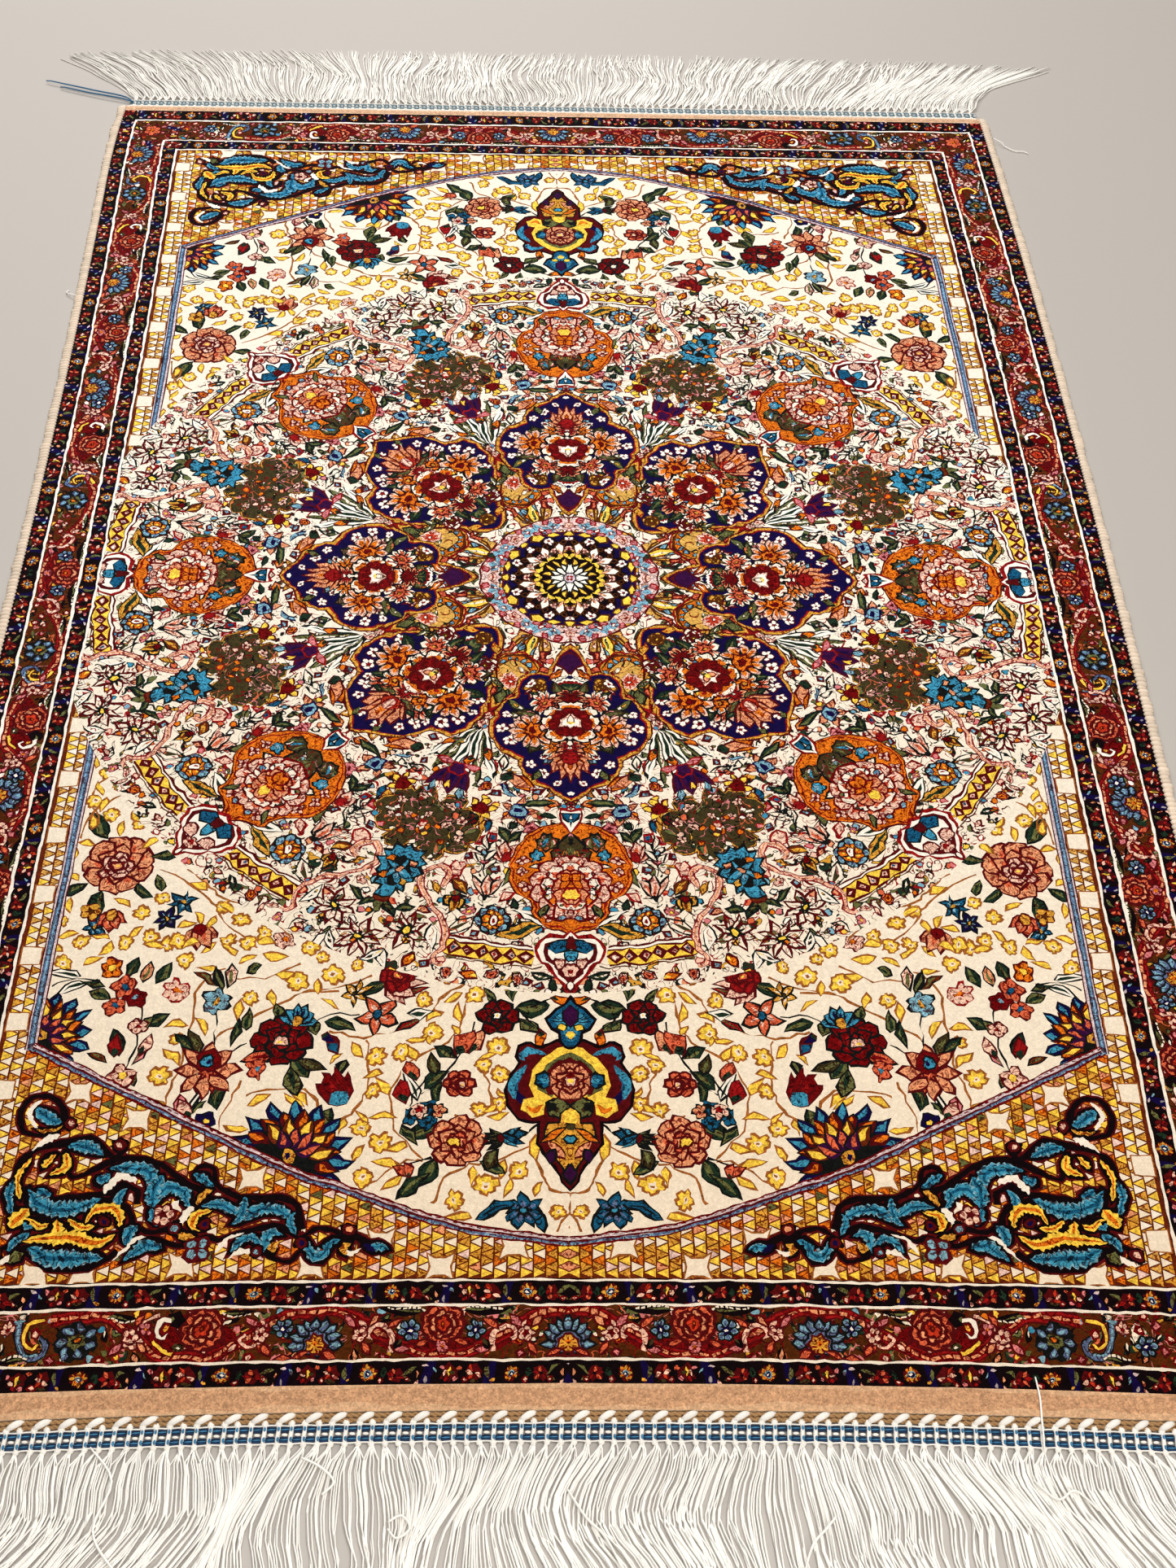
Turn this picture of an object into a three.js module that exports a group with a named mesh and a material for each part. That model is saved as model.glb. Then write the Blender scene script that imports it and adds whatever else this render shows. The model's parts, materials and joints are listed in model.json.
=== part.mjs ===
// A hand-knotted silk carpet of about 1.0 by 1.5 metres, lying flat.
//
// The pile, its two overcast side bindings, the flat-woven web, the twined band
// and the knotted fringe at each end are separate solids. Every solid is drawn on
// the straight loom plan and then laid on the floor by lay(), which gives the
// slightly crooked outline that a real carpet takes.
import * as THREE from "three";

// Driving dimensions, in millimetres. The origin is the floor under the middle
// of the centre medallion; +Y runs along the carpet towards its far end.
const PILE_HALF_WIDTH = 490.5;
const PILE_NEAR_END = -770;
const PILE_FAR_END = 755;
const PILE_THICKNESS = 3.2;

const BINDING_WIDTH = 8.2;
const BINDING_THICKNESS = 3.6;
const BINDING_RIPPLE = 0.7;

const WEB_NEAR_WIDTH = 6.7;
const WEB_FAR_WIDTH = 3.2;
const WEB_THICKNESS = 2.4;

const BAND_NEAR_WIDTH = 14.2;
const BAND_FAR_WIDTH = 11.2;
const BAND_THICKNESS = 3.2;
const BAND_HALF_WIDTH = 487;

const TUFT_COUNT = 112;
const TUFT_WIDTH = 6;
const FRINGE_THICKNESS = 2.4;
const FRINGE_SPINE = 3;
const FRINGE_LENGTH = 110;
const FRINGE_UNEVENNESS = 5;

const SEAM_GAP = 0.3;
const END_COLUMNS = 8;

// How the laid carpet leaves the straight plan.
const LAY_LENGTH = 750;
const FAR_LEAN = 16.5;
const NEAR_LEAN = 4.7;
const NEAR_DROOP = 11.5;
const CORNER_TUCK = 7;
const CORNER_TUCK_START = 610;

// Sideways drift of the fringe tips, from the left end of a fringe to the right.
// along: place across the carpet; near, far: drift of a tip at either end.
const FRINGE_FAN = [
  { along: -487, near: -92, far: -84 },
  { along: -400, near: -74, far: -62 },
  { along: -300, near: -54, far: -40 },
  { along: -200, near: -27, far: -14 },
  { along: -100, near: -11, far: -4 },
  { along: 0, near: 3, far: 6 },
  { along: 100, near: 5, far: 18 },
  { along: 200, near: 22, far: 34 },
  { along: 300, near: 58, far: 50 },
  { along: 400, near: 76, far: 60 },
  { along: 487, near: 92, far: 76 },
];

// Moves a point of the straight plan to where it lies on the floor.
function lay(x, y) {
  const reach = y / LAY_LENGTH;
  const across = x / PILE_HALF_WIDTH;
  const lean = -(y > 0 ? FAR_LEAN : NEAR_LEAN) * reach ** 2;
  const droop = y < 0 ? -NEAR_DROOP * (across * reach) ** 2 : 0;
  const tuckReach = Math.max(0, (y - CORNER_TUCK_START) / (LAY_LENGTH - CORNER_TUCK_START));
  const tuck = x < 0 ? -CORNER_TUCK * across * tuckReach ** 2 : 0;
  return [x + lean + tuck, y + droop];
}

function steps(from, to, count) {
  return Array.from({ length: count + 1 }, (_, i) => from + ((to - from) * i) / count);
}

// A closed sheet on the floor over a grid of plan positions, with its top at topAt(x, y).
function sheet(xs, ys, topAt) {
  const positions = [];
  const indices = [];
  const perLayer = xs.length * ys.length;
  for (const layer of ["floor", "top"]) {
    for (const y of ys) {
      for (const x of xs) {
        const [laidX, laidY] = lay(x, y);
        positions.push(laidX, laidY, layer === "floor" ? 0 : topAt(x, y));
      }
    }
  }
  const floor = (i, j) => j * xs.length + i;
  const top = (i, j) => perLayer + floor(i, j);
  const quad = (a, b, c, d) => indices.push(a, b, c, a, c, d);
  const lastX = xs.length - 1;
  const lastY = ys.length - 1;
  for (let j = 0; j < lastY; j++) {
    for (let i = 0; i < lastX; i++) {
      quad(top(i, j), top(i + 1, j), top(i + 1, j + 1), top(i, j + 1));
      quad(floor(i, j), floor(i, j + 1), floor(i + 1, j + 1), floor(i + 1, j));
    }
    quad(floor(0, j), top(0, j), top(0, j + 1), floor(0, j + 1));
    quad(floor(lastX, j), floor(lastX, j + 1), top(lastX, j + 1), top(lastX, j));
  }
  for (let i = 0; i < lastX; i++) {
    quad(floor(i, 0), floor(i + 1, 0), top(i + 1, 0), top(i, 0));
    quad(floor(i, lastY), top(i, lastY), top(i + 1, lastY), floor(i + 1, lastY));
  }
  const geometry = new THREE.BufferGeometry();
  geometry.setAttribute("position", new THREE.Float32BufferAttribute(positions, 3));
  geometry.setIndex(indices);
  geometry.computeVertexNormals();
  return geometry;
}

// Height of a rounded edging at a place from 0 to 1 across its width.
function roundedTop(thickness, across) {
  const edgeShare = 0.45;
  return thickness * (edgeShare + (1 - edgeShare) * Math.sin(Math.PI * across));
}

function pileCarpet() {
  const rows = 44;
  const xs = steps(-PILE_HALF_WIDTH, PILE_HALF_WIDTH, END_COLUMNS);
  const ys = steps(PILE_NEAR_END, PILE_FAR_END, rows);
  return sheet(xs, ys, () => PILE_THICKNESS);
}

// The silk-wrapped edge along one side; side is -1 for left and 1 for right.
function sideBinding(side) {
  const columns = 3;
  const rows = 88;
  const inner = PILE_HALF_WIDTH + SEAM_GAP;
  const outer = inner + BINDING_WIDTH;
  const xs = steps(inner, outer, columns).map((x) => side * x);
  if (side < 0) xs.reverse();
  const ys = steps(PILE_NEAR_END, PILE_FAR_END, rows);
  const topAt = (x) => roundedTop(BINDING_THICKNESS, (Math.abs(x) - inner) / BINDING_WIDTH);
  const geometry = sheet(xs, ys, topAt);
  const position = geometry.attributes.position;
  const outerColumn = side < 0 ? 0 : columns;
  for (let i = outerColumn; i < position.count; i += columns + 1) {
    const y = position.getY(i);
    const ripple = Math.sin(y / 17) + Math.sin(y / 7.3);
    position.setX(i, position.getX(i) + side * BINDING_RIPPLE * ripple);
  }
  return geometry;
}

// A narrow strip across one end of the carpet, between two plan positions.
function endStrip(halfWidth, innerY, outerY, thickness) {
  const rows = 3;
  const xs = steps(-halfWidth, halfWidth, END_COLUMNS);
  const ys = steps(Math.min(innerY, outerY), Math.max(innerY, outerY), rows);
  return sheet(xs, ys, (x, y) => roundedTop(thickness, (y - ys[0]) / (ys[rows] - ys[0])));
}

function fanDrift(x, end) {
  const next = Math.max(1, FRINGE_FAN.findIndex((row) => row.along >= x));
  const before = FRINGE_FAN[next - 1];
  const after = FRINGE_FAN[next];
  const share = (x - before.along) / (after.along - before.along);
  return before[end] + share * (after[end] - before[end]);
}

// One comb: a spine along the twined band, with a tapering tooth for each tuft.
function fringe(end, rootY) {
  const away = end === "near" ? -1 : 1;
  const pitch = (2 * BAND_HALF_WIDTH) / TUFT_COUNT;
  const middleShare = 0.5;
  const middleDriftShare = 0.3;
  const outline = [];
  const at = (x, y, drift, drop) => {
    const [laidX, laidY] = lay(x, y);
    outline.push(new THREE.Vector2(laidX + drift, laidY + away * drop));
  };
  for (let tuft = 0; tuft < TUFT_COUNT; tuft++) {
    const x = -BAND_HALF_WIDTH + (tuft + 0.5) * pitch;
    const left = x - TUFT_WIDTH / 2;
    const right = x + TUFT_WIDTH / 2;
    const drift = fanDrift(x, end);
    const length = FRINGE_LENGTH + FRINGE_UNEVENNESS * Math.sin(1.7 * tuft);
    const drop = Math.sqrt(length ** 2 - drift ** 2);
    at(left, rootY, 0, FRINGE_SPINE);
    at(left, rootY, middleDriftShare * drift, middleShare * drop);
    at(x, rootY, drift, drop);
    at(right, rootY, middleDriftShare * drift, middleShare * drop);
    at(right, rootY, 0, FRINGE_SPINE);
  }
  for (const x of steps(BAND_HALF_WIDTH, -BAND_HALF_WIDTH, END_COLUMNS)) {
    at(x, rootY, 0, 0);
  }
  return new THREE.ExtrudeGeometry(new THREE.Shape(outline), { depth: FRINGE_THICKNESS, bevelEnabled: false });
}

const finishes = {
  pile: new THREE.MeshStandardMaterial({ color: 0xd8b48c, roughness: 0.6, metalness: 0 }),
  binding: new THREE.MeshStandardMaterial({ color: 0xe2cbb4, roughness: 0.65, metalness: 0 }),
  web: new THREE.MeshStandardMaterial({ color: 0xa98a5a, roughness: 0.7, metalness: 0 }),
  band: new THREE.MeshStandardMaterial({ color: 0x5b83a8, roughness: 0.6, metalness: 0 }),
  fringe: new THREE.MeshStandardMaterial({ color: 0xf0eadf, roughness: 0.55, metalness: 0 }),
};

const carpet = new THREE.Group();

function addPiece(name, geometry, finish) {
  const piece = new THREE.Mesh(geometry, finish.clone());
  piece.name = name;
  carpet.add(piece);
}

addPiece("pile_carpet", pileCarpet(), finishes.pile);
addPiece("binding_left", sideBinding(-1), finishes.binding);
addPiece("binding_right", sideBinding(1), finishes.binding);

const ends = [
  { end: "near", away: -1, pileEnd: PILE_NEAR_END, webWidth: WEB_NEAR_WIDTH, bandWidth: BAND_NEAR_WIDTH },
  { end: "far", away: 1, pileEnd: PILE_FAR_END, webWidth: WEB_FAR_WIDTH, bandWidth: BAND_FAR_WIDTH },
];
for (const { end, away, pileEnd, webWidth, bandWidth } of ends) {
  const webInner = pileEnd + away * SEAM_GAP;
  const webOuter = webInner + away * webWidth;
  const bandInner = webOuter + away * SEAM_GAP;
  const bandOuter = bandInner + away * bandWidth;
  const fringeRoot = bandOuter + away * SEAM_GAP;
  addPiece(`web_${end}`, endStrip(PILE_HALF_WIDTH, webInner, webOuter, WEB_THICKNESS), finishes.web);
  addPiece(`band_${end}`, endStrip(BAND_HALF_WIDTH, bandInner, bandOuter, BAND_THICKNESS), finishes.band);
  addPiece(`fringe_${end}`, fringe(end, fringeRoot), finishes.fringe);
}

export default carpet;
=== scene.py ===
import cmath
import json
import math
import random

import bpy
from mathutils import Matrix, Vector, geometry, noise
from mathutils.bvhtree import BVHTree

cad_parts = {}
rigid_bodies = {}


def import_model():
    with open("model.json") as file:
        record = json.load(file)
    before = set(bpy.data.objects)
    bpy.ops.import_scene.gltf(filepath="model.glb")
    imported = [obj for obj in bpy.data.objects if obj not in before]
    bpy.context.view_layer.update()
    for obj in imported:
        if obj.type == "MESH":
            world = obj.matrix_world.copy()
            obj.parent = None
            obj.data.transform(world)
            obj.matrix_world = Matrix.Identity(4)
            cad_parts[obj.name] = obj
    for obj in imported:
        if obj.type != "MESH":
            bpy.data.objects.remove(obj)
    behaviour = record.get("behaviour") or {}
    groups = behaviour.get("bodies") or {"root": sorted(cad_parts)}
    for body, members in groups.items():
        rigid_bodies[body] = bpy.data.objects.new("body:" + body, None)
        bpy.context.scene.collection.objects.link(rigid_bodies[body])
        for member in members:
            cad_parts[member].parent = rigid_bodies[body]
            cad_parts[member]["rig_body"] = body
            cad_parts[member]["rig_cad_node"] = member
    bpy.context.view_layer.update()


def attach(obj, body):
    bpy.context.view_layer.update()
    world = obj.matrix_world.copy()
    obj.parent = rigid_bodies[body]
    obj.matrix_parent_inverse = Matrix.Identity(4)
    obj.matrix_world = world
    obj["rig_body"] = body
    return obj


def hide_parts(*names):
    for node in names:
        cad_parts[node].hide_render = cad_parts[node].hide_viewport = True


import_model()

# The small waver of hand-tied knots comes from Blender's noise, which would otherwise start from the clock.
noise.seed_set(5)

# The rug lies flat on a plain pale floor, with its near end towards the camera. The camera stands
# over the near end and looks down along the rug, so that the far end runs away from it.
camera_data = bpy.data.cameras.new("view_from_near_end")
camera_data.lens = 45.5276
camera_data.sensor_width = 36
camera = bpy.data.objects.new("view_from_near_end", camera_data)
camera.location = (-0.02775, -1.28064, 1.25709)
camera.rotation_euler = [math.radians(turn) for turn in (39.675, -1.387, -0.622)]
bpy.context.collection.objects.link(camera)
bpy.context.scene.camera = camera


def plain_floor():
    bpy.ops.mesh.primitive_plane_add(size=9, location=(0, 0, -0.0002))
    floor = bpy.context.object
    floor.name = "floor"
    finish = bpy.data.materials.new("pale_floor")
    finish.use_nodes = True
    surface = finish.node_tree.nodes["Principled BSDF"]
    surface.inputs["Base Color"].default_value = (0.50, 0.46, 0.42, 1)
    surface.inputs["Roughness"].default_value = 0.6
    floor.data.materials.append(finish)
    return floor


def soft_lamp(name, place, aim, width, height, power, tint=(1, 1, 1)):
    lamp = bpy.data.lights.new(name, "AREA")
    lamp.shape = "RECTANGLE"
    lamp.size = width
    lamp.size_y = height
    lamp.energy = power
    lamp.color = tint
    holder = bpy.data.objects.new(name, lamp)
    holder.location = place
    holder.rotation_euler = (Vector(aim) - Vector(place)).to_track_quat("-Z", "Y").to_euler()
    bpy.context.collection.objects.link(holder)
    return holder


plain_floor()
soft_lamp("window_light", (-0.6, 2.6, 1.9), (0, 0.2, 0), 2.4, 1.2, 60, (1, 0.99, 0.98))
soft_lamp("room_light", (0.4, -0.6, 2.8), (0, -0.1, 0), 2.6, 2.6, 52, (1, 0.98, 0.95))
soft_lamp("near_light", (0.5, -2.3, 1.2), (0, -0.7, 0), 1.4, 0.7, 16, (1, 0.97, 0.93))
world = bpy.data.worlds.new("soft_room")
world.use_nodes = True
world.node_tree.nodes["Background"].inputs["Color"].default_value = (1, 0.97, 0.93, 1)
world.node_tree.nodes["Background"].inputs["Strength"].default_value = 0.25
bpy.context.scene.world = world
bpy.context.scene.view_settings.view_transform = "Standard"

# The middle rosette is the heart of the carpet: an eight-lobed flower round a star, on a pale lace
# ground. It is silk pile, tied knot by knot and clipped short. The design is drawn flat, in
# millimetres, as dyed shapes laid one over another, and is then woven into areas side by side.


def disc(radius, points=10):
    return [cmath.rect(radius, math.tau * i / points) for i in range(points)]


def disc_at(x, y, radius, points=5):
    return [complex(x, y) + p for p in disc(radius, points)]


def scalloped(radius, lobes, depth=0.2, fine=3):
    """A round outline of even lobes; depth is how far the notches cut in."""
    count = lobes * fine
    reach = [radius * (1 - depth * (i % fine == 0)) for i in range(count)]
    return [cmath.rect(reach[i], math.tau * i / count) for i in range(count)]


def blade(length, width, bend=0.0, belly=1.0, fine=4):
    """A pointed petal or leaf from the origin along x; belly under 1 is fullest near its base."""
    along = [i / fine for i in range(fine + 1)]
    middle = [complex(length * t, length * bend * t * t) for t in along]
    half = [width / 2 * math.sin(math.pi * t**belly) for t in along[1:-1]]
    right = [m - 1j * h for m, h in zip(middle[1:-1], half)]
    left = [m + 1j * h for m, h in zip(middle[1:-1], half)]
    return [middle[0], *right, middle[-1], *reversed(left)]


def curve(points, closed=False, fine=3):
    """A smooth line through the points."""
    count = len(points)
    made = []
    for i in range(count if closed else count - 1):
        if closed:
            a, b, c, d = (points[(i + k) % count] for k in (-1, 0, 1, 2))
        else:
            a, b, c, d = (points[min(max(i + k, 0), count - 1)] for k in (-1, 0, 1, 2))
        for k in range(fine):
            t = k / fine
            made.append(b + (c - a) * t / 2 + (a - 2.5 * b + 2 * c - d / 2) * t * t
                        + (1.5 * (b - c) + (d - a) / 2) * t**3)
    return made if closed else [*made, points[-1]]


def stroke(points, width, tip=None, fine=3):
    """A line of knots along a smooth route, from width at its start to tip at its end."""
    route = curve(points, fine=fine) if fine > 1 else points
    tip = width if tip is None else tip
    last = len(route) - 1
    left, right = [], []
    for i, p in enumerate(route):
        ahead = route[min(i + 1, last)] - route[max(i - 1, 0)]
        side = 1j * ahead / abs(ahead) * (width + (tip - width) * i / last) / 2
        left.append(p + side)
        right.append(p - side)
    return [*right, *reversed(left)]


def area(outline):
    return sum((a.conjugate() * b).imag for a, b in zip(outline, outline[1:] + outline[:1])) / 2


def grown(outline, edge):
    """The outline moved outwards by edge all round."""
    count = len(outline)
    sign = -1j if area(outline) > 0 else 1j
    made = []
    for i, p in enumerate(outline):
        before, after = p - outline[i - 1], outline[(i + 1) % count] - p
        normal = before / (abs(before) or 1) + after / (abs(after) or 1)
        length = abs(normal)
        if length < 0.5:
            # A sharp point is drawn out a little along its own direction.
            normal = -1j * sign * (before / (abs(before) or 1) - after / (abs(after) or 1)) / 2 * 1.4
            made.append(p + sign * normal * edge)
        else:
            made.append(p + sign * normal / length * edge * min(2 / length, 1.8))
    return made


def inked(colour, outline, edge=0.9, ink="maroon"):
    return [(ink, grown(outline, edge * 1.8)), (colour, outline)]


def pointed(colour, length, width, bend=0.0, belly=1.0, edge=0.8, ink="maroon", fine=4):
    """One outlined petal or leaf from the origin along x."""
    return inked(colour, blade(length, width, bend, belly, fine), edge, ink)


def moved(shapes, at=0, turn=0.0, size=1.0, flip=False):
    """The shapes set down at a place, turned by degrees, and mirrored first if flipped."""
    unit = cmath.rect(size, math.radians(turn))
    return [(colour, [at + unit * (p.conjugate() if flip else p) for p in outline]) for colour,
            outline in shapes]


def round_the(shapes, count, start=0.0):
    """The shapes repeated round the origin."""
    made = []
    for i in range(count):
        made += moved(shapes, turn=start + 360 * i / count)
    return made


def both_sides(shapes, line=90.0):
    """The shapes with their mirror images across a line through the origin, at this many degrees."""
    axis = cmath.rect(1, math.radians(2 * line))
    return shapes + [(c, [axis * p.conjugate() for p in outline]) for c, outline in shapes]


def in_pairs(line, *pieces):
    """Pieces set down, each as its shapes, place and turn, and again across a line through the origin."""
    made = []
    for piece in pieces:
        made += both_sides(moved(*piece), line)
    return made


def rose(radius, outer="peach", inner="red", heart="blush", petals=7, ink="maroon"):
    """A full rose: rings of cupped petals, each ring darker inside, round a pale open heart."""
    petal = inked(outer, scalloped(radius * 0.36, 3, 0.12), 1.0, ink)
    petal += moved([(inner, blade(radius * 0.36, radius * 0.3, 0, 1.4))], at=-radius * 0.3)
    made = [(ink, disc(radius * 0.9, 12))] + round_the(moved(petal, at=radius * 0.68), petals)
    second = pointed(outer, radius * 0.5, radius * 0.5, 0.1, 0.8, 1.0, ink)
    second += [(inner, blade(radius * 0.3, radius * 0.28, 0.1, 0.9))]
    made += round_the(moved(second, at=radius * 0.16), 6, 25)
    made += inked(inner, scalloped(radius * 0.36, 5, 0.2), 0.8, ink)
    made += inked(heart, scalloped(radius * 0.24, 4, 0.25), 0.8, ink)
    return made + [("yellow", disc(radius * 0.09, 5))]


def by_hand(shapes, stray=3.2, span=8.5):
    """The shapes as a knotter ties them: no two petals quite alike, and no outline quite true."""
    made = []
    for colour, outline in shapes:
        route = []
        for a, b in zip(outline, outline[1:] + outline[:1]):
            count = max(1, round(abs(b - a) / 6))
            route += [a + (b - a) * i / count for i in range(count)]
        loose = []
        for p in route:
            wide = noise.noise_vector((p.real / span, p.imag / span, 3.0)) * stray
            fine = noise.noise_vector((p.real / 2.6, p.imag / 2.6, 9.0)) * 1.1
            loose.append(p + complex(wide.x + fine.x, wide.y + fine.y))
        made.append((colour, loose))
    return made


def aster(radius, petals=12, tip="blush", base="orange", ink="maroon", eye="brown"):
    """A flower of many narrow petals, pale at their tips."""
    width = radius * 5.2 / petals
    petal = [(tip, blade(radius, width, 0, 1.5)), (base, blade(radius * 0.72, width * 0.62, 0, 1.2, 3))]
    made = [(ink, scalloped(radius * 0.95, petals, 0.12, 2))]
    made += round_the(petal, petals, 180 / petals)
    return made + inked(eye, disc(radius * 0.13, 5), 0.4, ink)


def daisy(radius, petals=5, colour="ivory", eye="red", ink="maroon", edge=0.8):
    """A small open flower of round petals."""
    petal = moved([(colour, disc(radius * 0.36, 6))], at=radius * 0.62)
    made = [(ink, scalloped(radius + edge, petals, 0.22))]
    made += round_the(petal, petals, 180 / petals)
    return made + [(eye, disc(radius * 0.3, 5))]


def tulip(length, width, colour="peach", inner="red", ink="maroon", cup="green"):
    """A closed flower seen from the side, opening along x."""
    side = moved(pointed(colour, length, width * 0.45, 0.22, 1.1, ink=ink), turn=-4)
    made = both_sides(side, 0)
    made += pointed(inner, length * 0.94, width * 0.36, belly=0.9, edge=0.6, ink=ink)
    made += inked(
        cup, moved([("", blade(length * 0.34, width * 0.5))], at=-length * 0.12)[0][1], 0.5, ink)
    return made


def lotus(length, spread, petals=5, colours=("blush", "peach", "red"), ink="maroon", width=0.42):
    """A fan of pointed petals opening along x, its middle petal in front."""
    made = []
    order = sorted(range(petals), key=lambda i: -abs(i - (petals - 1) / 2))
    for i in order:
        turn = spread * (i / (petals - 1) - 0.5)
        reach = length * (1 - 0.2 * abs(turn) / (spread / 2 or 1))
        leaf = pointed(colours[0], reach, length * width, belly=0.95, ink=ink)
        leaf += [(colours[1], blade(reach * 0.74, length * width * 0.55, 0, 0.9, 3))]
        made += moved(leaf, turn=turn)
    heart = inked(colours[2], disc(length * 0.24, 7), 0.6, ink)
    return made + moved(heart, at=length * 0.14)


def leaf(length, width, bend=0.0, colour="green", vein="moss", ink="ink"):
    made = pointed(colour, length, width, bend, edge=0.7, ink=ink)
    return made + [(vein, blade(length * 0.85, width * 0.4, bend, 1.0, 3))]


def leaf_pair(length, width, gap=55, colour="green", vein="moss", ink="ink"):
    one = moved(leaf(length, width, 0.12, colour, vein, ink), turn=gap / 2)
    return both_sides(one, 0)


def bud(length, colour="peach", ink="maroon", cup="green"):
    made = pointed(colour, length, length * 0.55, belly=0.8, edge=0.7, ink=ink)
    return made + [(cup, blade(length * 0.4, length * 0.4, 0, 1, 3))]


def spiral(radius, turns=1.25, start=0.0, fine=10):
    """Points of a curl from its outside to its middle, beginning at the origin."""
    count = int(turns * fine)
    unit = cmath.rect(1, math.radians(start))
    made = [radius - cmath.rect(radius * (1 - i / (count + 2)), math.tau * i / fine)
            for i in range(count + 1)]
    return [unit * -1j * p for p in made]


def along(route, spacing):
    """Places at even steps along a line, each with the direction of the line there."""
    made, left = [], spacing / 2
    for a, b in zip(route, route[1:]):
        length = abs(b - a)
        while left < length:
            made.append((a + (b - a) * left / length, math.degrees(cmath.phase(b - a))))
            left += spacing
        left -= length
    return made


def row(shapes, route, spacing, turn=0.0):
    """The shapes repeated along a line, following it."""
    made = []
    for place, heading in along(route, spacing):
        made += moved(shapes, place, heading + turn)
    return made


def mirrored(half):
    """A whole outline from its right half, which starts and ends on the line x = 0."""
    return half + [-p.conjugate() for p in reversed(half) if abs(p.real) > 0.01]


def both_halves(half):
    """A whole outline from its half on one side of the line y = 0, where it starts and ends."""
    return half + [p.conjugate() for p in reversed(half[1:-1])]


def plan(*places):
    """Places given as across and out from the middle of the carpet."""
    return [complex(x, y) for x, y in places]


def polar(radius, angle):
    """A place at this angle from the carpet's long axis."""
    return cmath.rect(radius, math.radians(90 - angle))


def cartouche(outline, ground, edge="maroon", line="gold", tick="red"):
    """A panel edged with a dark line, a ticked gold line and a red line."""
    closed = outline + outline[:1]
    made = [(edge, grown(outline, 4.4)), (line, grown(outline, 3.2)), (tick, grown(outline, 1.2))]
    made += row([(tick, plan((-0.45, -3.2), (0.45, -3.2), (0.6, -1), (-0.2, -1)))], closed[::-1], 4)
    return made + [(ground, outline)]


CENTRE_RADIUS = 60


def centre():
    """The round centre: a white star, yellow flames and cream leaves on near-black, edged navy."""
    made = [("maroon", disc(80, 64)), ("lace", disc(78.6, 64))]
    curl = [("red", stroke(spiral(4.4, 1.1), 1.3, 1.1, 1))]
    knot = daisy(4.6, 5, "blush", "red", "red", 0.6)
    trefoil = round_the(moved([("sky", disc(3.4, 6))], at=3.6), 3, 90)
    trefoil += [("red", disc(2.4, 5)), ("ivory", disc(1.2, 4))]
    for angle in (0, 45):
        made += moved(knot, polar(70, angle))
        made += both_sides(moved(curl, polar(69, angle + 5.5), 90 - angle), 90 - angle)
    for angle, radius in ((12.5, 68.5), (22.5, 67), (32.5, 68.5)):
        made += moved(trefoil, polar(radius, angle), 90 - angle, 1.25 if angle == 22.5 else 1)
    for angle, radius in ((7.5, 75), (17, 76), (28, 76), (38, 75), (17.5, 64), (27.5, 64)):
        made += moved(inked("pink", scalloped(2.6, 4, 0.25), 0.7, "red"), polar(radius, angle))
    made += [("maroon", disc(61.6, 64)), ("navy", disc(CENTRE_RADIUS, 64))]
    made += [("black", scalloped(54, 32, 0.13, 3))]
    tuft = inked(
        "yellow", plan((-5.2, -1.6), (-2.4, 2), (0, 0.6), (2.4, 2), (5.2, -1.6), (0, -4.4)), 0.7, "brown")
    for angle in range(0, 46, 15):
        made += moved(tuft, polar(59, angle), -angle)
    # Cream leaves, three to each of sixteen rays, with small white flowers between.
    spray = pointed("ivory", 17, 7.5, belly=1.4, edge=0.6, ink="brown")
    spray += [("peach", blade(10, 3, 0, 1.2, 3))]
    side = both_sides(moved(pointed("cream", 11, 5, 0.35, edge=0.5, ink="brown"), at=3, turn=38), 0)
    for angle in (11.25, 33.75):
        made += moved(side + spray, polar(29, angle), 90 - angle)
    for angle in (0, 22.5, 45):
        made += moved(daisy(4.2, 5, "ivory", "red", "maroon", 0.4), polar(50, angle))
        made += moved(daisy(3.2, 4, "blush", "red", "maroon", 0.3), polar(37.5, angle))
        made += in_pairs(90 - angle,
            ([("brown", disc(2.6, 6)), ("black", disc(1.6, 5))], polar(46, angle - 7)),
            ([("yellow", disc(2.5, 6))], polar(30, angle - 6)),
        )
        made += moved([("yellow", disc(2.2, 5))], polar(26.5, angle))
    made += [("black", scalloped(24, 16, 0.12, 2)), ("gold", scalloped(19, 16, 0.3, 2))]
    flame = pointed("yellow", 8, 3.6, belly=0.8, edge=0.5, ink="brown")
    for angle in (11.25, 33.75):
        made += moved(flame, polar(16, angle), 90 - angle)
    star = pointed("ivory", 17, 5.0, belly=1.1, ink="ink") + [("grey", blade(9, 1.8, 0, 1, 3))]
    for angle in (22.5, 0, 45):
        made += moved(star, 0, 90 - angle)
    return made + inked("lilac", scalloped(3.6, 8, 0.25, 2), 0.6, "ink") + [("red", disc(1.6, 6))]


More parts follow.
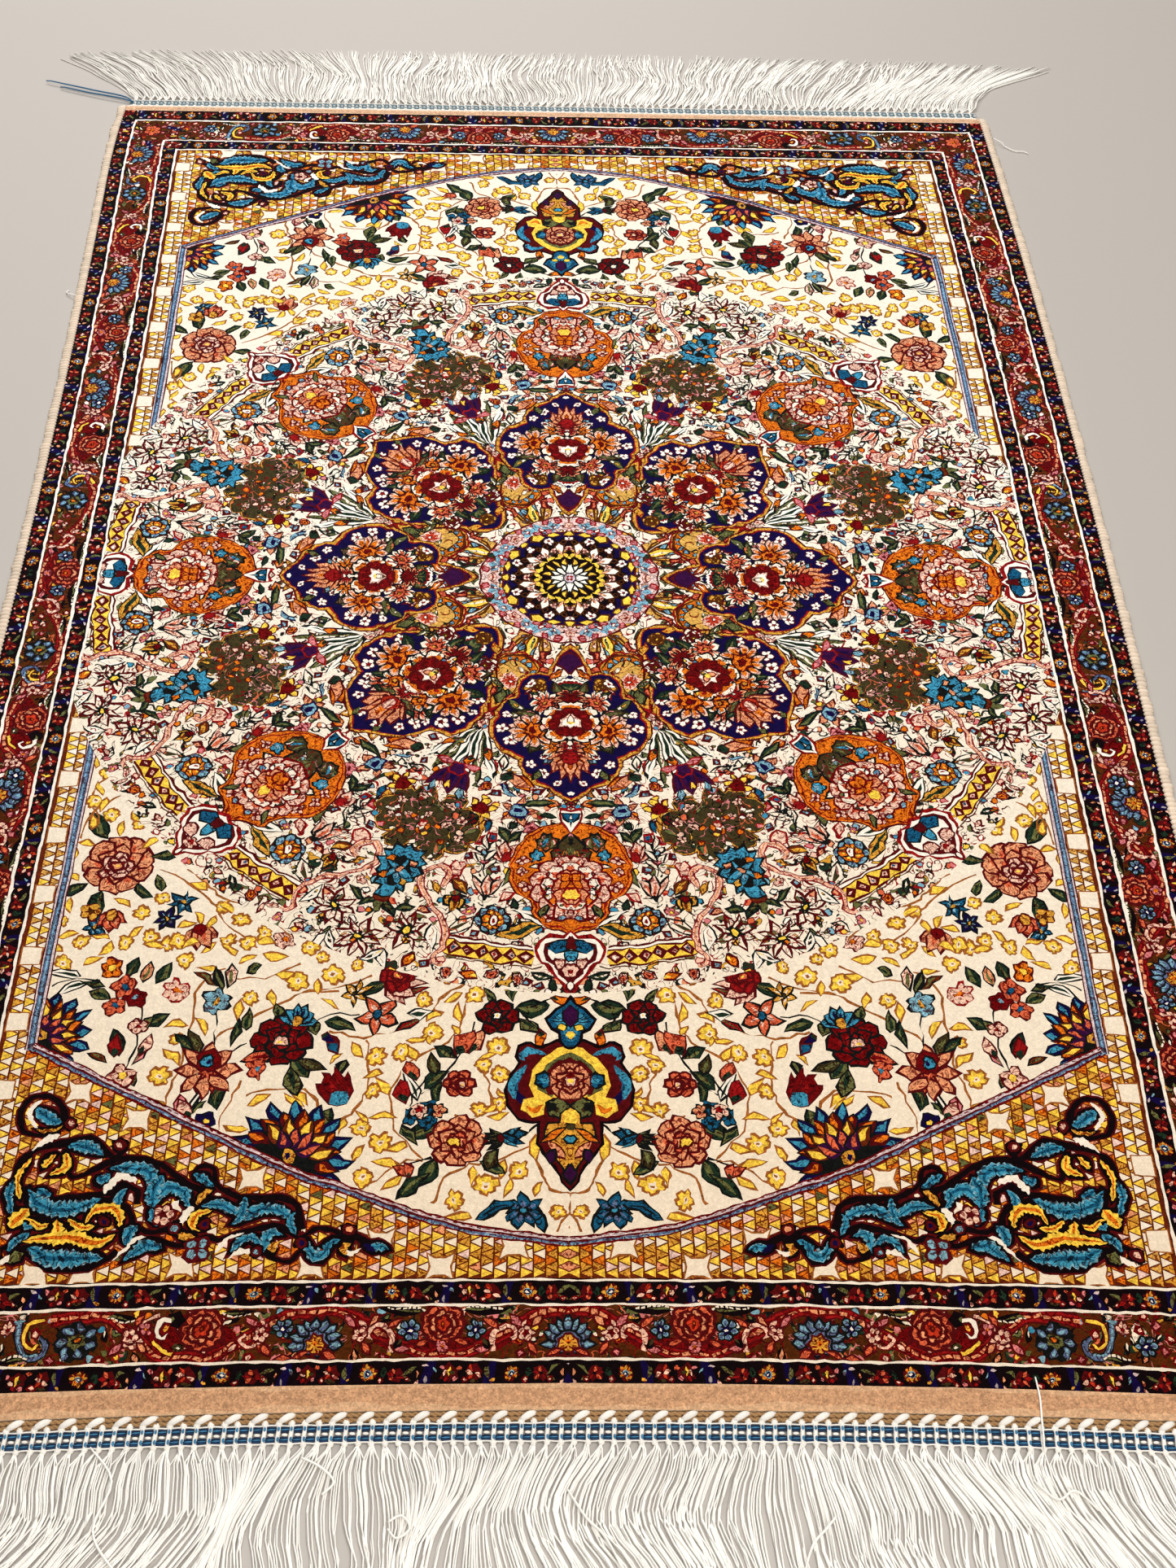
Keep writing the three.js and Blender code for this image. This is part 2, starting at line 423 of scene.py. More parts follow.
def lantern():
    """Gold leaves and an arched gold flower panel on the line between two petals, drawn along x."""
    ground = plan(
        (80, 16), (90, 19), (104, 15), (112, 20), (124, 24), (138, 20), (150, 13), (164, 9), (174, 0))
    made = [("maroon", grown(ground + [p.conjugate() for p in reversed(ground)], 1.2)),
            ("amber", ground + [p.conjugate() for p in reversed(ground)])]
    fan = [(0, 36, 7, "yellow"), (9, 33, 6, "orange"), (17, 36, 7, "cream"), (26, 34, 6, "gold")]
    for turn, length, width, colour in reversed(fan):
        blade_shape = pointed(colour, length, width, 0.1, 0.8, ink="brown")
        blade_shape += [
            ("red" if colour == "orange" else "cream", blade(length * 0.7, width * 0.35, 0.1, 0.8, 3))]
        made += both_sides(moved(blade_shape, 74, turn), 0) if turn else moved(blade_shape, 74)
    made += both_sides(moved(pointed("sky", 9, 4, edge=0.6, ink="ink"), 92 + 6j, -10), 0)
    half = plan((103, 0), (105, -9), (111, -17), (120, -20), (128, -17), (138, -16), (146, -13),
                (150, -10), (158, -9), (163, -5), (172, 0))
    outline = both_halves(half)
    made += inked("gold", outline, 1.1, "red")
    made += inked("amber", [120 + (p - 122) * 0.8 for p in outline], 0.9, "maroon")
    arch = [complex(126, 0) + cmath.rect(17, math.radians(a)) for a in range(112, 249, 17)]
    made += inked("orange", stroke(arch, 5.4, fine=1), 0.8, "brown")
    made += row(pointed("sky", 4.6, 3.6, belly=0.8, edge=0.5, ink="ink", fine=3),
                [complex(126, 0) + 0.82 * (p - 126) for p in arch], 5.6, -90)
    made += moved(aster(10.5, 10, "blush", "scarlet", "maroon", "ivory"), 136)
    made += both_sides(moved(leaf(13, 5.5, 0.2, "moss", "green"), 146 + 3j, 22), 0)
    for x, y, turn in (
            (100, 14, 30), (112, 19, 60), (126, 20, 10), (94, 16, -20), (140, 17, -30), (150, 10, -40)):
        made += both_sides(moved(pointed("salmon", 8, 4, 0.3), complex(x, y), turn), 0)
    return made + moved(pointed("moss", 14, 7, ink="ink"), 150)


def white_flower():
    return daisy(5.4, 5, "ivory", "red", "maroon", 0.7)


def green_fan():
    """A green half-round with a red edge and cream scallops, opening along x."""
    made = []
    for radius, colour, lobes in ((15, "ink", 9), (14, "ivory", 9), (11.4, "red", 15), (9, "green", 0)):
        arc = [cmath.rect(
                   radius * (0.9 if lobes and i % 3 == 0 else 1), math.radians(-105 + 210 * i / 27))
               for i in range(28)]
        made.append((colour, [0, *arc] if lobes else [0, *arc[::3]]))
    made += [("moss", blade(8, 2.4, fine=3))]
    return made + both_sides(moved([("moss", blade(7, 2, fine=3))], turn=40), 0)


def frill(radius, outer, inner, heart, lobes=8):
    """A ruffled flower: notched outer petals, a second ring inside them and a small heart."""
    made = [("black", scalloped(radius, lobes, 0.14, 2)),
            (outer, scalloped(radius - 1.1, lobes, 0.14, 2))]
    made += round_the(
        [("maroon", moved_outline(blade(radius * 0.5, 1.5, 0, 1, 2), radius * 0.48))], lobes, 180 / lobes)
    made += [("maroon", scalloped(radius * 0.66, 6, 0.16, 2)),
             (inner, scalloped(radius * 0.66 - 1, 6, 0.2, 2))]
    return made + [("maroon", scalloped(radius * 0.34, 4, 0.2, 1)), (heart, disc(radius * 0.2, 5))]


def moved_outline(outline, at):
    return [at + p for p in outline]


def peony(radius, tip="blush", root="salmon", heart="crimson"):
    """A full flower of ragged narrow petals, pale at their tips, round a darker heart."""
    petal = pointed(tip, radius * 0.66, radius * 0.36, 0.12, 1.3, 0.6, "ink")
    petal += [(root, blade(radius * 0.5, radius * 0.22, 0.12, 1, 3))]
    made = [("black", scalloped(radius * 0.84, 9, 0.14, 2))]
    made += round_the(moved(petal, at=radius * 0.34), 11)
    made += [("maroon", scalloped(radius * 0.56, 7, 0.24, 2)),
             (root, scalloped(radius * 0.45, 7, 0.3, 2))]
    return made + [("maroon", scalloped(radius * 0.24, 5, 0.3, 2)), (heart, disc(radius * 0.13, 4))]


def bouquet(size=1.0):
    """A crimson rose with a pale open middle, among overlapping ragged peonies and dark leaves, along x."""
    made = []
    for turn in range(0, 360, 30):
        made += moved(leaf(19, 8, 0.15, "green" if turn % 60 else "olive", "moss"),
                      cmath.rect(29, math.radians(turn + 12)), turn + 12)
    for x, y, radius, tints in (
            (26, 14, 13, ("cream", "orange", "gold")), (26, -14, 13, ("cream", "orange", "gold")),
            (-22, 20, 14, ("cream", "salmon", "gold")), (-22, -20, 14, ("cream", "salmon", "gold")),
            (27, 0, 11, ("peach", "red", "cream")), (-27, 0, 13, ("peach", "crimson", "crimson")),
            (9, 31, 19, ("blush", "orange", "crimson")), (9, -31, 19, ("blush", "orange", "crimson"))):
        made += moved(peony(radius, *tints), complex(x, y), 3 * y)
    # The ruffle: wide orange petals with pale tips, fuller on the outer side of the panel.
    ruffle = inked("cream", scalloped(8.2, 5, 0.26), 0.7, "black")
    ruffle += moved([("orange", scalloped(6, 4, 0.3))], -1.6)
    ruffle += moved([("red", blade(6, 2.6, 0.3, 1, 3))], -4, 12)
    made += [("black", scalloped(21, 9, 0.1, 2))]
    for turn, reach in (
            (10, 17), (52, 18.5), (96, 17.5), (140, 16), (186, 17), (230, 16), (272, 17.5), (318, 18)):
        made += moved(ruffle, cmath.rect(reach, math.radians(turn)), turn)
    # The ring of cups, cut uneven, and the open heart.
    cup = inked("crimson", scalloped(6, 4, 0.25), 0.8, "maroon") + [("red", blade(5.4, 2.2, 0.3, 1, 3))]
    made += [("maroon", scalloped(16.5, 8, 0.16, 2))] + round_the(moved(cup, at=11.4), 7, 24)
    ragged = (9.2, 6.4, 10.4, 6.6, 8.4, 5.4, 9.8, 6.8, 8.8, 5.6, 10, 6.2)
    heart = [cmath.rect(reach, math.radians(30 * i)) for i, reach in enumerate(ragged)]
    made += inked("blush", heart, 0.6, "maroon") + [("ivory", [0.72 * p for p in heart])]
    made += moved(pointed("peach", 7, 3.4, 0.3, 0.9, 0.5, "crimson"), -2, 25)
    made += moved(pointed("cream", 6, 3, -0.3, 0.9, 0.5, "brown"), -1 + 1j, 200)
    return moved(made + [("yellow", disc(1.9, 5))], 0, 0, size)


def petal_on_axis():
    half = plan(
        (0, 88), (7, 99), (13, 111), (17, 122), (24, 119), (33, 119.5), (40, 126), (42.5, 136), (43, 146),
        (50, 149.5), (56, 154), (59.5, 162), (58, 168), (62, 173), (63, 184), (60, 195), (54, 204),
        (46, 209), (39, 212), (38.5, 221), (35, 229), (26, 238), (13, 247), (0, 256))
    made = cartouche(mirrored(half), "navy")
    made += [("cream", mirrored(plan((0, 90), (8, 103), (14, 114), (16, 124), (12, 132), (0, 118))))]
    made += inked(
        "violet", mirrored(plan((0, 92), (4, 98), (10.5, 107), (5, 109), (0, 116))), 0.8, "maroon")
    made += both_sides(moved(leaf(17, 5, -0.1, "orange", "cream", "maroon"), 5 + 112j, 52))
    made += moved(green_fan(), 136j, -90)
    made += in_pairs(
        90,
        (rose(9.5, "gold", "cream", "brown", 6, "brown"), 28 + 134j),
        (lotus(10, 130, 4, ("blush", "pink", "gold"), "maroon"), 30 + 139j, 80),
        (leaf_pair(14, 6, 70, "moss", "cream", "ink"), 40 + 160j, -5),
        (aster(15, 13), 37.5 + 180j),
        (leaf(12, 6, 0.2, "moss"), 30 + 196j, 60),
        (daisy(5, 5, "yellow", "maroon", "maroon"), 14 + 197j),
    )
    for x, y, size in ((56.5, 180, 1), (50, 195, 1), (32, 219, 0.9), (23, 230, 0.8), (10, 240, 0.7),
                       (53, 165, 0.8), (34, 130, 0.7), (20, 212, 0.8)):
        made += both_sides(moved(white_flower(), complex(x, y), size=size))
    made += both_sides(moved(leaf(9, 5, 0, "moss"), 27 + 228j, 70))
    made += moved(bouquet(1.0), 174j, 90)
    made += moved(leaf_pair(17, 8, 100, "green"), 206j, 90)
    made += moved(lotus(30, 120, 7, ("peach", "orange", "red"), "maroon", 0.34), 208j, 90)
    made += both_sides(moved(pointed("sky", 9, 4, edge=0.6, ink="ink"), 13 + 216j, 20))
    made += [("ivory", [251j + p for p in disc(2.2, 5)])]
    return made


def petal_on_diagonal():
    """Drawn along x, from the middle of the carpet outwards."""
    half = plan((93, 0), (96, -9), (104, -16), (118, -23), (134, -27), (141, -34), (146, -45), (152, -52),
                (164, -56), (176, -63), (190, -64), (203, -58), (208, -43), (220, -41), (233, -35),
                (243, -20), (249, -8), (256, 0))
    outline = both_halves(half)
    made = cartouche(outline, "navy")
    made += moved(green_fan(), 122, 180)
    made += in_pairs(
        0,
        (rose(7, "gold", "cream", "brown", 6, "brown"), 107),
        (pointed("gold", 12, 7, edge=0.7) + [("orange", blade(7, 3))], 104 + 10j, 60),
        (rose(9.5, "cream", "gold", "brown", 6, "maroon"), 128 + 26j),
        (leaf_pair(13, 5, 60, "moss", "cream"), 136 + 38j, 60),
        (aster(14.5, 13), 180 + 35j),
        (aster(10, 11, "ivory", "gold"), 197 + 17j),
        (leaf(12, 6, 0.2, "moss"), 200 + 30j, 30),
    )
    for x, y, size in ((188, 54, 1), (200, 48, 1), (217, 31, 1), (160, 49, 1), (229, 25, 0.8),
                       (174, 56, 0.7), (240, 9, 0.8), (209, 36, 0.7)):
        made += both_sides(moved(white_flower(), complex(x, y), size=size), 0)
    made += both_sides(moved(peony(12, "blush", "salmon", "gold"), 205 + 22j), 0)
    made += moved(bouquet(1.08), 168)
    made += in_pairs(
        0,
        (leaf(16, 7, 0.2, "green"), 206 + 10j, 55),
        (leaf(17, 8, 0.2, "olive", "moss"), 206 + 4j, 70),
    )
    made += moved(lotus(30, 130, 7, ("peach", "orange", "scarlet"), "maroon", 0.4), 212)
    made += moved(pointed("blush", 12, 7, edge=0.7, ink="red"), 211)
    made += both_sides(moved(leaf(9, 5, 0.2, "moss"), 238 + 14j, -20), 0)
    return made


def between_petals():
    """Collars, long leaves and an iris on the line between two petals, drawn along x."""
    made = []
    for turn, length, width, colour in (
            (-26, 60, 8, "ivory"), (26, 60, 8, "ivory"), (-15, 66, 8, "moss"), (15, 66, 8, "moss"),
            (-5, 60, 7, "ivory"), (7, 64, 7, "ivory")):
        made += moved(
            leaf(length, width, turn / 260, colour, "green" if colour == "ivory" else "cream"), 190, turn)
    for x, y, turn in ((214, -14, -40), (214, 14, 40), (226, 4, 10)):
        made += moved(bud(11, "orange"), complex(x, y), turn)
    for x, y in ((184, -9), (185, 8), (190, -2), (180, 0)):
        made += moved(daisy(4.4, 5, "blush", "red", "maroon"), complex(x, y))
    made += both_sides(inked("gold", stroke([171, 178 + 11j], 4.4, fine=1), 1.0, "red"), 0)
    # The iris.
    fall = pointed("violet", 27, 12, 0.12, 0.8) + [("navy", blade(20, 5, 0.12, 0.8, 3))]
    made += both_sides(moved(fall, 243, 32), 0) + moved(fall, 243, 0)
    made += moved(inked("violet", scalloped(7, 4, 0.25), 0.8, "red"), 243)
    made += in_pairs(
        0,
        (pointed("yellow", 9, 3, edge=0.5), 256, 9),
        (pointed("sky", 11, 4.5, edge=0.6, ink="ink"), 262 + 11j, 10),
        (pointed("pink", 12, 5, 0.3, edge=0.7, ink="red"), 238 + 5j, 75),
    )
    return made

# Weaving turns a drawing into cloth. It leaves one closed slab of silk pile on the foundation, whose
# dyed areas meet edge to edge, laid on the floor as the finished rug lies.


def stacked(outlines):
    """A pile of flat outlines, each a step above the one before, for looking down on."""
    points, triangles, layer = [], [], []
    for height, outline in enumerate(outlines):
        flat = [Vector((p.real, p.imag, height)) for p in outline]
        for triangle in geometry.tessellate_polygon([flat]):
            triangles.append([len(points) + v for v in triangle])
            layer.append(height)
        points += flat
    return BVHTree.FromPolygons(points, triangles), layer


def looked_down_on(tree, layer, place):
    hit = tree.ray_cast(Vector((place[0], place[1], 1e6)), Vector((0, 0, -1)))
    return layer[hit[2]] if hit[2] is not None else -1


def parted(points, edges):
    """Triangles between the edges, and the middle of each."""
    cut = geometry.delaunay_2d_cdt(points, edges, [], 0, 1e-4)
    places = cut[0]
    middles = [sum((places[v] for v in t), Vector((0, 0))) / 3 for t in cut[2]]
    return places, cut[2], middles


def settled(points, used, firm, reach=0.5):
    """Draws points that nearly touch together, so that no sliver is left between two outlines.

    Points on the rim of the patch are firm: they stay where they are and others go to them.
    """
    cells, place_of = {}, {}
    for v in sorted(used, key=lambda v: v not in firm):
        x, y = points[v]
        column, line = int(x // reach), int(y // reach)
        near = [q for i in (-1, 0, 1) for j in (-1, 0, 1) for q in cells.get((column + i, line + j), ())]
        near = [q for q in near if (points[q] - points[v]).length < reach]
        if near and v not in firm:
            place_of[v] = near[0]
        else:
            place_of[v] = v
            cells.setdefault((column, line), []).append(v)
    return place_of


def woven(drawing, domain, colours):
    """Joins a drawing into flat regions that lie side by side inside the domain outline.

    Returns the points, the triangles, and the colour of each triangle. Only lines where two
    colours meet are kept, so what lies hidden under a later shape costs nothing.
    """
    shapes = [("cream", domain)] + [(c, o) for c, o in drawing if len(o) > 2]
    points, edges = [], []
    for _, outline in shapes:
        first, count = len(points), len(outline)
        points += [Vector((p.real, p.imag)) for p in outline]
        edges += [(first + i, first + (i + 1) % count) for i in range(count)]
    seen, layer = stacked([o for _, o in shapes])
    inside, only = stacked([domain])

    def colour_at(middle):
        if looked_down_on(inside, only, middle) < 0:
            return -1
        return colours.index(shapes[looked_down_on(seen, layer, middle)][0])

    places, triangles, middles = parted(points, edges)
    colour = [colour_at(m) for m in middles]
    across = {}
    for i, triangle in enumerate(triangles):
        for a, b in zip(triangle, triangle[1:] + triangle[:1]):
            across.setdefault((min(a, b), max(a, b)), []).append(colour[i])
    seams = [pair for pair, sides in across.items() if len(sides) < 2 or len(set(sides)) > 1]
    used = sorted({v for pair in seams for v in pair})
    firm = {v for pair in seams if len(across[pair]) < 2 or -1 in across[pair] for v in pair}
    kept = settled(places, used, firm)
    used = sorted(set(kept.values()))
    number = {v: i for i, v in enumerate(used)}
    seams = [(number[kept[a]], number[kept[b]]) for a, b in seams if kept[a] != kept[b]]
    places, triangles, middles = parted([places[v] for v in used], seams)
    made = [(tuple(t), colour_at(m)) for t, m in zip(triangles, middles)]
    made = [(t, c) for t, c in made if c >= 0]
    return places, [t for t, _ in made], [c for _, c in made]


# The knotted cloth on its straight plan, in millimetres from its middle, and the height of the pile.
half_width, half_length = 490.5, 770
rosette_radius, ring_radius = 258, 446
field_side, field_end = 419.4, 678
pile_foot, pile_top = 1.05, 3.2


def laid(x, y, z):
    """Where a point of the straight rug lies on the floor, all in millimetres, given back in metres.

    The far end has been drawn up a little, each end leans to its left, and the far left corner
    is tucked in.
    """
    reach = y / 750
    across = x / half_width
    lean = -(16.5 if y > 0 else 4.7) * reach**2
    droop = -11.5 * (across * reach) ** 2 if y < 0 else 0
    tuck = 0
    if x < 0 and y > 610:
        tuck = -7 * across * ((y - 610) / 140) ** 2
    return Vector((x + lean + tuck, y + droop, z)) / 1000


def drawn_up(y):
    """The far half was woven a little shorter towards its end than the near half."""
    marks = ((420, 420), (678, 668.6), (697, 687.3), (735.6, 726.7), (752.3, 746.5), (770, 755))
    for (y0, far0), (y1, far1) in zip(marks, marks[1:]):
        if y0 < y <= y1:
            return far0 + (far1 - far0) * (y - y0) / (y1 - y0)
    return y


def hand_knotted(x, y):
    """Moves a point as little as a hand-tied knot strays from the drawing."""
    stray = noise.noise_vector((x / 3.1, y / 3.1, 0)) * 0.45
    stray += noise.noise_vector((x / 23, y / 23, 7)) * 0.9
    hold = min(1, max(0, 490 - abs(x)) / 6) * min(1, max(0, 751 - abs(y)) / 6)
    return x + stray.x * hold, y + stray.y * hold


dyes = dict(
    cream="FBF2E0", ivory="FFFCF2", gold="E0A53C", yellow="FFD64C", orange="E87A1A", peach="EFA276",
    blush="F8CDB8", pink="DE8288", red="981416", scarlet="C4381E", crimson="72060A", maroon="540A0E",
    black="10060A", ink="121414", brown="52280A", rust="66260E", navy="12083E", blue="165C84",
    turquoise="3C96BC", sky="80B6CE", violet="360C3C", green="1E3426", moss="686E40", olive="40381F",
    grey="A09AA0", lilac="D8C8D0", salmon="E06A46", vine="A0602A", beige="D8AE8C",
    sand="E6C2A0", lace="F2D2CC", amber="DEAC54", slate="5E74A0")
dye_names = list(dyes)
petal_dyes = ("peach", "salmon", "blush", "pink", "red", "scarlet", "crimson", "gold", "turquoise",
              "blue", "sky", "green", "moss", "orange", "amber", "olive", "slate")


def dyed(name):
    """A dye as linear red, green and blue, and how much its knots vary: little in the pale grounds."""
    parts = [int(dyes[name][i : i + 2], 16) / 255 for i in (0, 2, 4)]
    linear = [c / 12.92 if c <= 0.04045 else ((c + 0.055) / 1.055) ** 2.4 for c in parts]
    return (*linear, {"cream": 0.25, "ivory": 0.25, "beige": 0.8, "sand": 0.6}.get(name, 1.0))


def turned_over(x, y, step):
    """A place with its x or its y changed in sign, or with both swapped across the diagonal."""
    return {"x": (-x, y), "y": (x, -y), "diagonal": (y, x)}[step]


def mirrored_patch(patch, steps):
    """Copies of one woven patch, turned over the lines named in steps: x, y or the diagonal."""
    patches = [patch]
    for step in steps:
        patches += [([turned_over(x, y, step) for x, y in points], triangles, colours)
                    for points, triangles, colours in patches]
    return patches


def on_mirror_lines(point):
    x, y = point
    if abs(x) < 2e-3:
        x = 0.0
    if abs(y) < 2e-3:
        y = 0.0
    if abs(x - y) < 2e-3:
        x = y = (x + y) / 2
    return x, y


def leftward(a, b, c):
    """Twice the area of a flat triangle, above 0 where its corners turn left."""
    return (b[0] - a[0]) * (c[1] - a[1]) - (c[0] - a[0]) * (b[1] - a[1])


def joined(patches):
    """All patches as one net: its points on the plan, its triangles facing up, and their colours."""
    number, plan_of, triangles, colours = {}, [], [], []
    for points, patch_triangles, patch_colours in patches:
        local = []
        for x, y in points:
            key = (round(x, 3) + 0.0, round(y, 3) + 0.0)
            if key not in number:
                number[key] = len(plan_of)
                plan_of.append((x, y))
            local.append(number[key])
        for triangle, colour in zip(patch_triangles, patch_colours):
            a, b, c = (local[v] for v in triangle)
            if len({a, b, c}) < 3:
                continue
            if leftward(plan_of[a], plan_of[b], plan_of[c]) < 0:
                b, c = c, b
            triangles.append((a, b, c))
            colours.append(colour)
    return plan_of, triangles, colours


def outer_edges(triangles):
    """The edges that belong to one triangle only."""
    once = set()
    for a, b, c in triangles:
        for edge in ((a, b), (b, c), (c, a)):
            if (edge[1], edge[0]) in once:
                once.remove((edge[1], edge[0]))
            else:
                once.add(edge)
    return once


def underside(plan_of, triangles, once, rim, below):
    """The fewest triangles that close the slab below, facing down, numbered by the points below."""
    faces = []
    seen = BVHTree.FromPolygons([Vector((x, y, 0)) for x, y in plan_of], triangles)
    order = {v: i for i, v in enumerate(rim)}
    edges = [(order[a], order[b]) for a, b in once]
    _, base, middles = parted([Vector(plan_of[v]) for v in rim], edges)
    for triangle, middle in zip(base, middles):
        if seen.ray_cast(Vector((*middle, 5)), Vector((0, 0, -1)))[0] is not None:
            a, b, c = (rim[v] for v in triangle)
            if leftward(plan_of[a], plan_of[b], plan_of[c]) > 0:
                b, c = c, b
            faces.append((below[a], below[b], below[c]))
    return faces


def dye_faces(mesh, colours, small_work):
    """Gives each upper face its dye and the small work it carries; the other faces stay plain."""
    dye = mesh.attributes.new("dye", "FLOAT_COLOR", "FACE")
    table = [dyed(c) for c in dye_names]
    work = [small_work.get(c, -1.0 if c in petal_dyes else 0.0) for c in dye_names]
    plain = len(mesh.polygons) - len(colours)
    coats = [table[c] for c in colours] + [dyed("cream")] * plain
    dye.data.foreach_set("color", [part for coat in coats for part in coat])
    worked = mesh.attributes.new("small_work", "FLOAT", "FACE")
    worked.data.foreach_set("value", [work[c] for c in colours] + [0.0] * plain)


def knotted_slab(name, patches, low, high, finish, small_work):
    """Joins woven patches into one closed slab, with a dye on each face and a flat map of the rug.

    small_work says which grounds carry tiny vines and buds: 1 on a pale ground and 2 on a dark one. Petals
    and leaves are marked -1, and are veined.
    """
    plan_of, triangles, colours = joined(patches)
    once = outer_edges(triangles)
    rim = sorted({v for edge in once for v in edge})
    below = {v: len(plan_of) + i for i, v in enumerate(rim)}
    under = underside(plan_of, triangles, once, rim, below)
    kinds = ["top"] * len(triangles) + ["wall"] * len(once) + ["base"] * len(under)
    faces = triangles + [(b, a, below[a], below[b]) for a, b in sorted(once)] + under
    plan_of += [plan_of[v] for v in rim]
    places = []
    for i, (x, y) in enumerate(plan_of):
        x, y = hand_knotted(x, y)
        places.append(laid(x, drawn_up(y), low if i >= len(plan_of) - len(rim) else high))
    mesh = bpy.data.meshes.new(name)
    mesh.from_pydata(places, [], faces)
    mesh.polygons.foreach_set("use_smooth", [False] * len(faces))
    dye_faces(mesh, colours, small_work)
    plan_data = mesh.attributes.new("plan", "FLOAT_VECTOR", "POINT").data
    plan_data.foreach_set(
        "vector", [part for x, y in plan_of for part in (abs(x) / 1000, abs(y) / 1000, 0)])
    flat_map(mesh, kinds)
    mesh.materials.append(finish)
    return in_scene(name, mesh)


def in_scene(name, mesh):
    piece = bpy.data.objects.new(name, mesh)
    bpy.context.collection.objects.link(piece)
    return piece


def flat_map(mesh, kinds):
    """The rug seen from above fills the map; its underside and edges have a narrow strip to themselves."""
    layer = mesh.uv_layers.new(name="OFBake")
    xs = [v.co.x for v in mesh.vertices]
    ys = [v.co.y for v in mesh.vertices]
    low_x, low_y, span_x, span_y = min(xs), min(ys), max(xs) - min(xs), max(ys) - min(ys)
    corners = []
    for face, kind in zip(mesh.polygons, kinds):
        for v in face.vertices:
            u, w = (xs[v] - low_x) / span_x, (ys[v] - low_y) / span_y
            if kind == "top":
                corners += [u, 0.04 + 0.96 * w]
            elif kind == "base":
                corners += [u * 0.5, 0.02 * w]
            else:
                corners += [0.55 + 0.4 * u, (0.025 if mesh.vertices[v].co.z > 0.002 else 0.005)]
    layer.data.foreach_set("uv", corners)


def add_node(tree, kind, inputs=(), **settings):
    """Adds a node, with its settings, and with its inputs set or linked by name or number."""
    made = tree.nodes.new(kind)
    for key, value in settings.items():
        setattr(made, key, value)
    for key, value in dict(inputs).items():
        if isinstance(value, bpy.types.NodeSocket):
            tree.links.new(value, made.inputs[key])
        else:
            made.inputs[key].default_value = value
    return made


def below(tree, value, limit, soft):
    """1 where value is under limit, fading to 0 over soft."""
    return add_node(tree, "ShaderNodeMapRange",
                    {"Value": value, "From Min": limit, "From Max": limit + soft, "To Min": 1.0,
                     "To Max": 0.0}).outputs["Result"]


def small_vines():
    """The tiny work between the drawn flowers: thin curling vines, little leaves and outlined buds.

    Given a place on the straight rug, it says how much of each there is, and picks a dye for each bud.
    """
    tree = bpy.data.node_groups.new("small_vines", "ShaderNodeTree")
    tree.interface.new_socket("Place", in_out="INPUT", socket_type="NodeSocketVector")
    for out in ("Vine", "Vein", "Leaf", "Leaf Edge", "Bud", "Bud Edge", "Pick", "Patch"):
        tree.interface.new_socket(out, in_out="OUTPUT", socket_type="NodeSocketFloat")
    place = tree.nodes.new("NodeGroupInput").outputs["Place"]
    out = tree.nodes.new("NodeGroupOutput")
    curls = add_node(
        tree, "ShaderNodeTexNoise", {"Vector": place, "Scale": 62, "Detail": 1.5, "Distortion": 1.4})
    near = add_node(tree, "ShaderNodeMath", {0: curls.outputs["Fac"], 1: 0.115}, operation="PINGPONG")
    tree.links.new(below(tree, near.outputs["Value"], 0.012, 0.006), out.inputs["Vine"])
    folds = add_node(
        tree, "ShaderNodeTexNoise", {"Vector": place, "Scale": 130, "Detail": 1.0, "Distortion": 1.0})
    near = add_node(tree, "ShaderNodeMath", {0: folds.outputs["Fac"], 1: 0.1}, operation="PINGPONG")
    tree.links.new(below(tree, near.outputs["Value"], 0.022, 0.010), out.inputs["Vein"])
    leaves = add_node(
        tree, "ShaderNodeTexNoise", {"Vector": place, "Scale": 96, "Detail": 1.0, "Distortion": 0.8})
    away = add_node(tree, "ShaderNodeMath", {0: 1.0, 1: leaves.outputs["Fac"]}, operation="SUBTRACT")
    tree.links.new(below(tree, away.outputs["Value"], 0.345, 0.01), out.inputs["Leaf"])
    tree.links.new(below(tree, away.outputs["Value"], 0.395, 0.01), out.inputs["Leaf Edge"])
    stray = add_node(tree, "ShaderNodeTexNoise", {"Vector": place, "Scale": 210, "Detail": 1.0})
    centred = add_node(tree, "ShaderNodeVectorMath", {0: stray.outputs["Color"], 1: (0.5, 0.5, 0.5)},
                       operation="SUBTRACT")
    small = add_node(
        tree, "ShaderNodeVectorMath", {0: centred.outputs["Vector"], "Scale": 0.006}, operation="SCALE")
    bent = add_node(tree, "ShaderNodeVectorMath", {0: place, 1: small.outputs["Vector"]})
    buds = add_node(
        tree, "ShaderNodeTexVoronoi",
        {"Vector": bent.outputs["Vector"], "Scale": 105, "Randomness": 0.85}, voronoi_dimensions="2D")
    drawn = add_node(tree, "ShaderNodeSeparateColor", {"Color": buds.outputs["Color"]})
    kept = add_node(tree, "ShaderNodeMath", {0: drawn.outputs["Green"], 1: 0.75}, operation="LESS_THAN")
    far = add_node(tree, "ShaderNodeMath", {0: buds.outputs["Distance"], 1: kept.outputs["Value"]})
    tree.links.new(below(tree, far.outputs["Value"], 0.22, 0.03), out.inputs["Bud"])
    tree.links.new(below(tree, far.outputs["Value"], 0.35, 0.03), out.inputs["Bud Edge"])
    tree.links.new(drawn.outputs["Red"], out.inputs["Pick"])
    tree.links.new(drawn.outputs["Blue"], out.inputs["Patch"])
    return tree


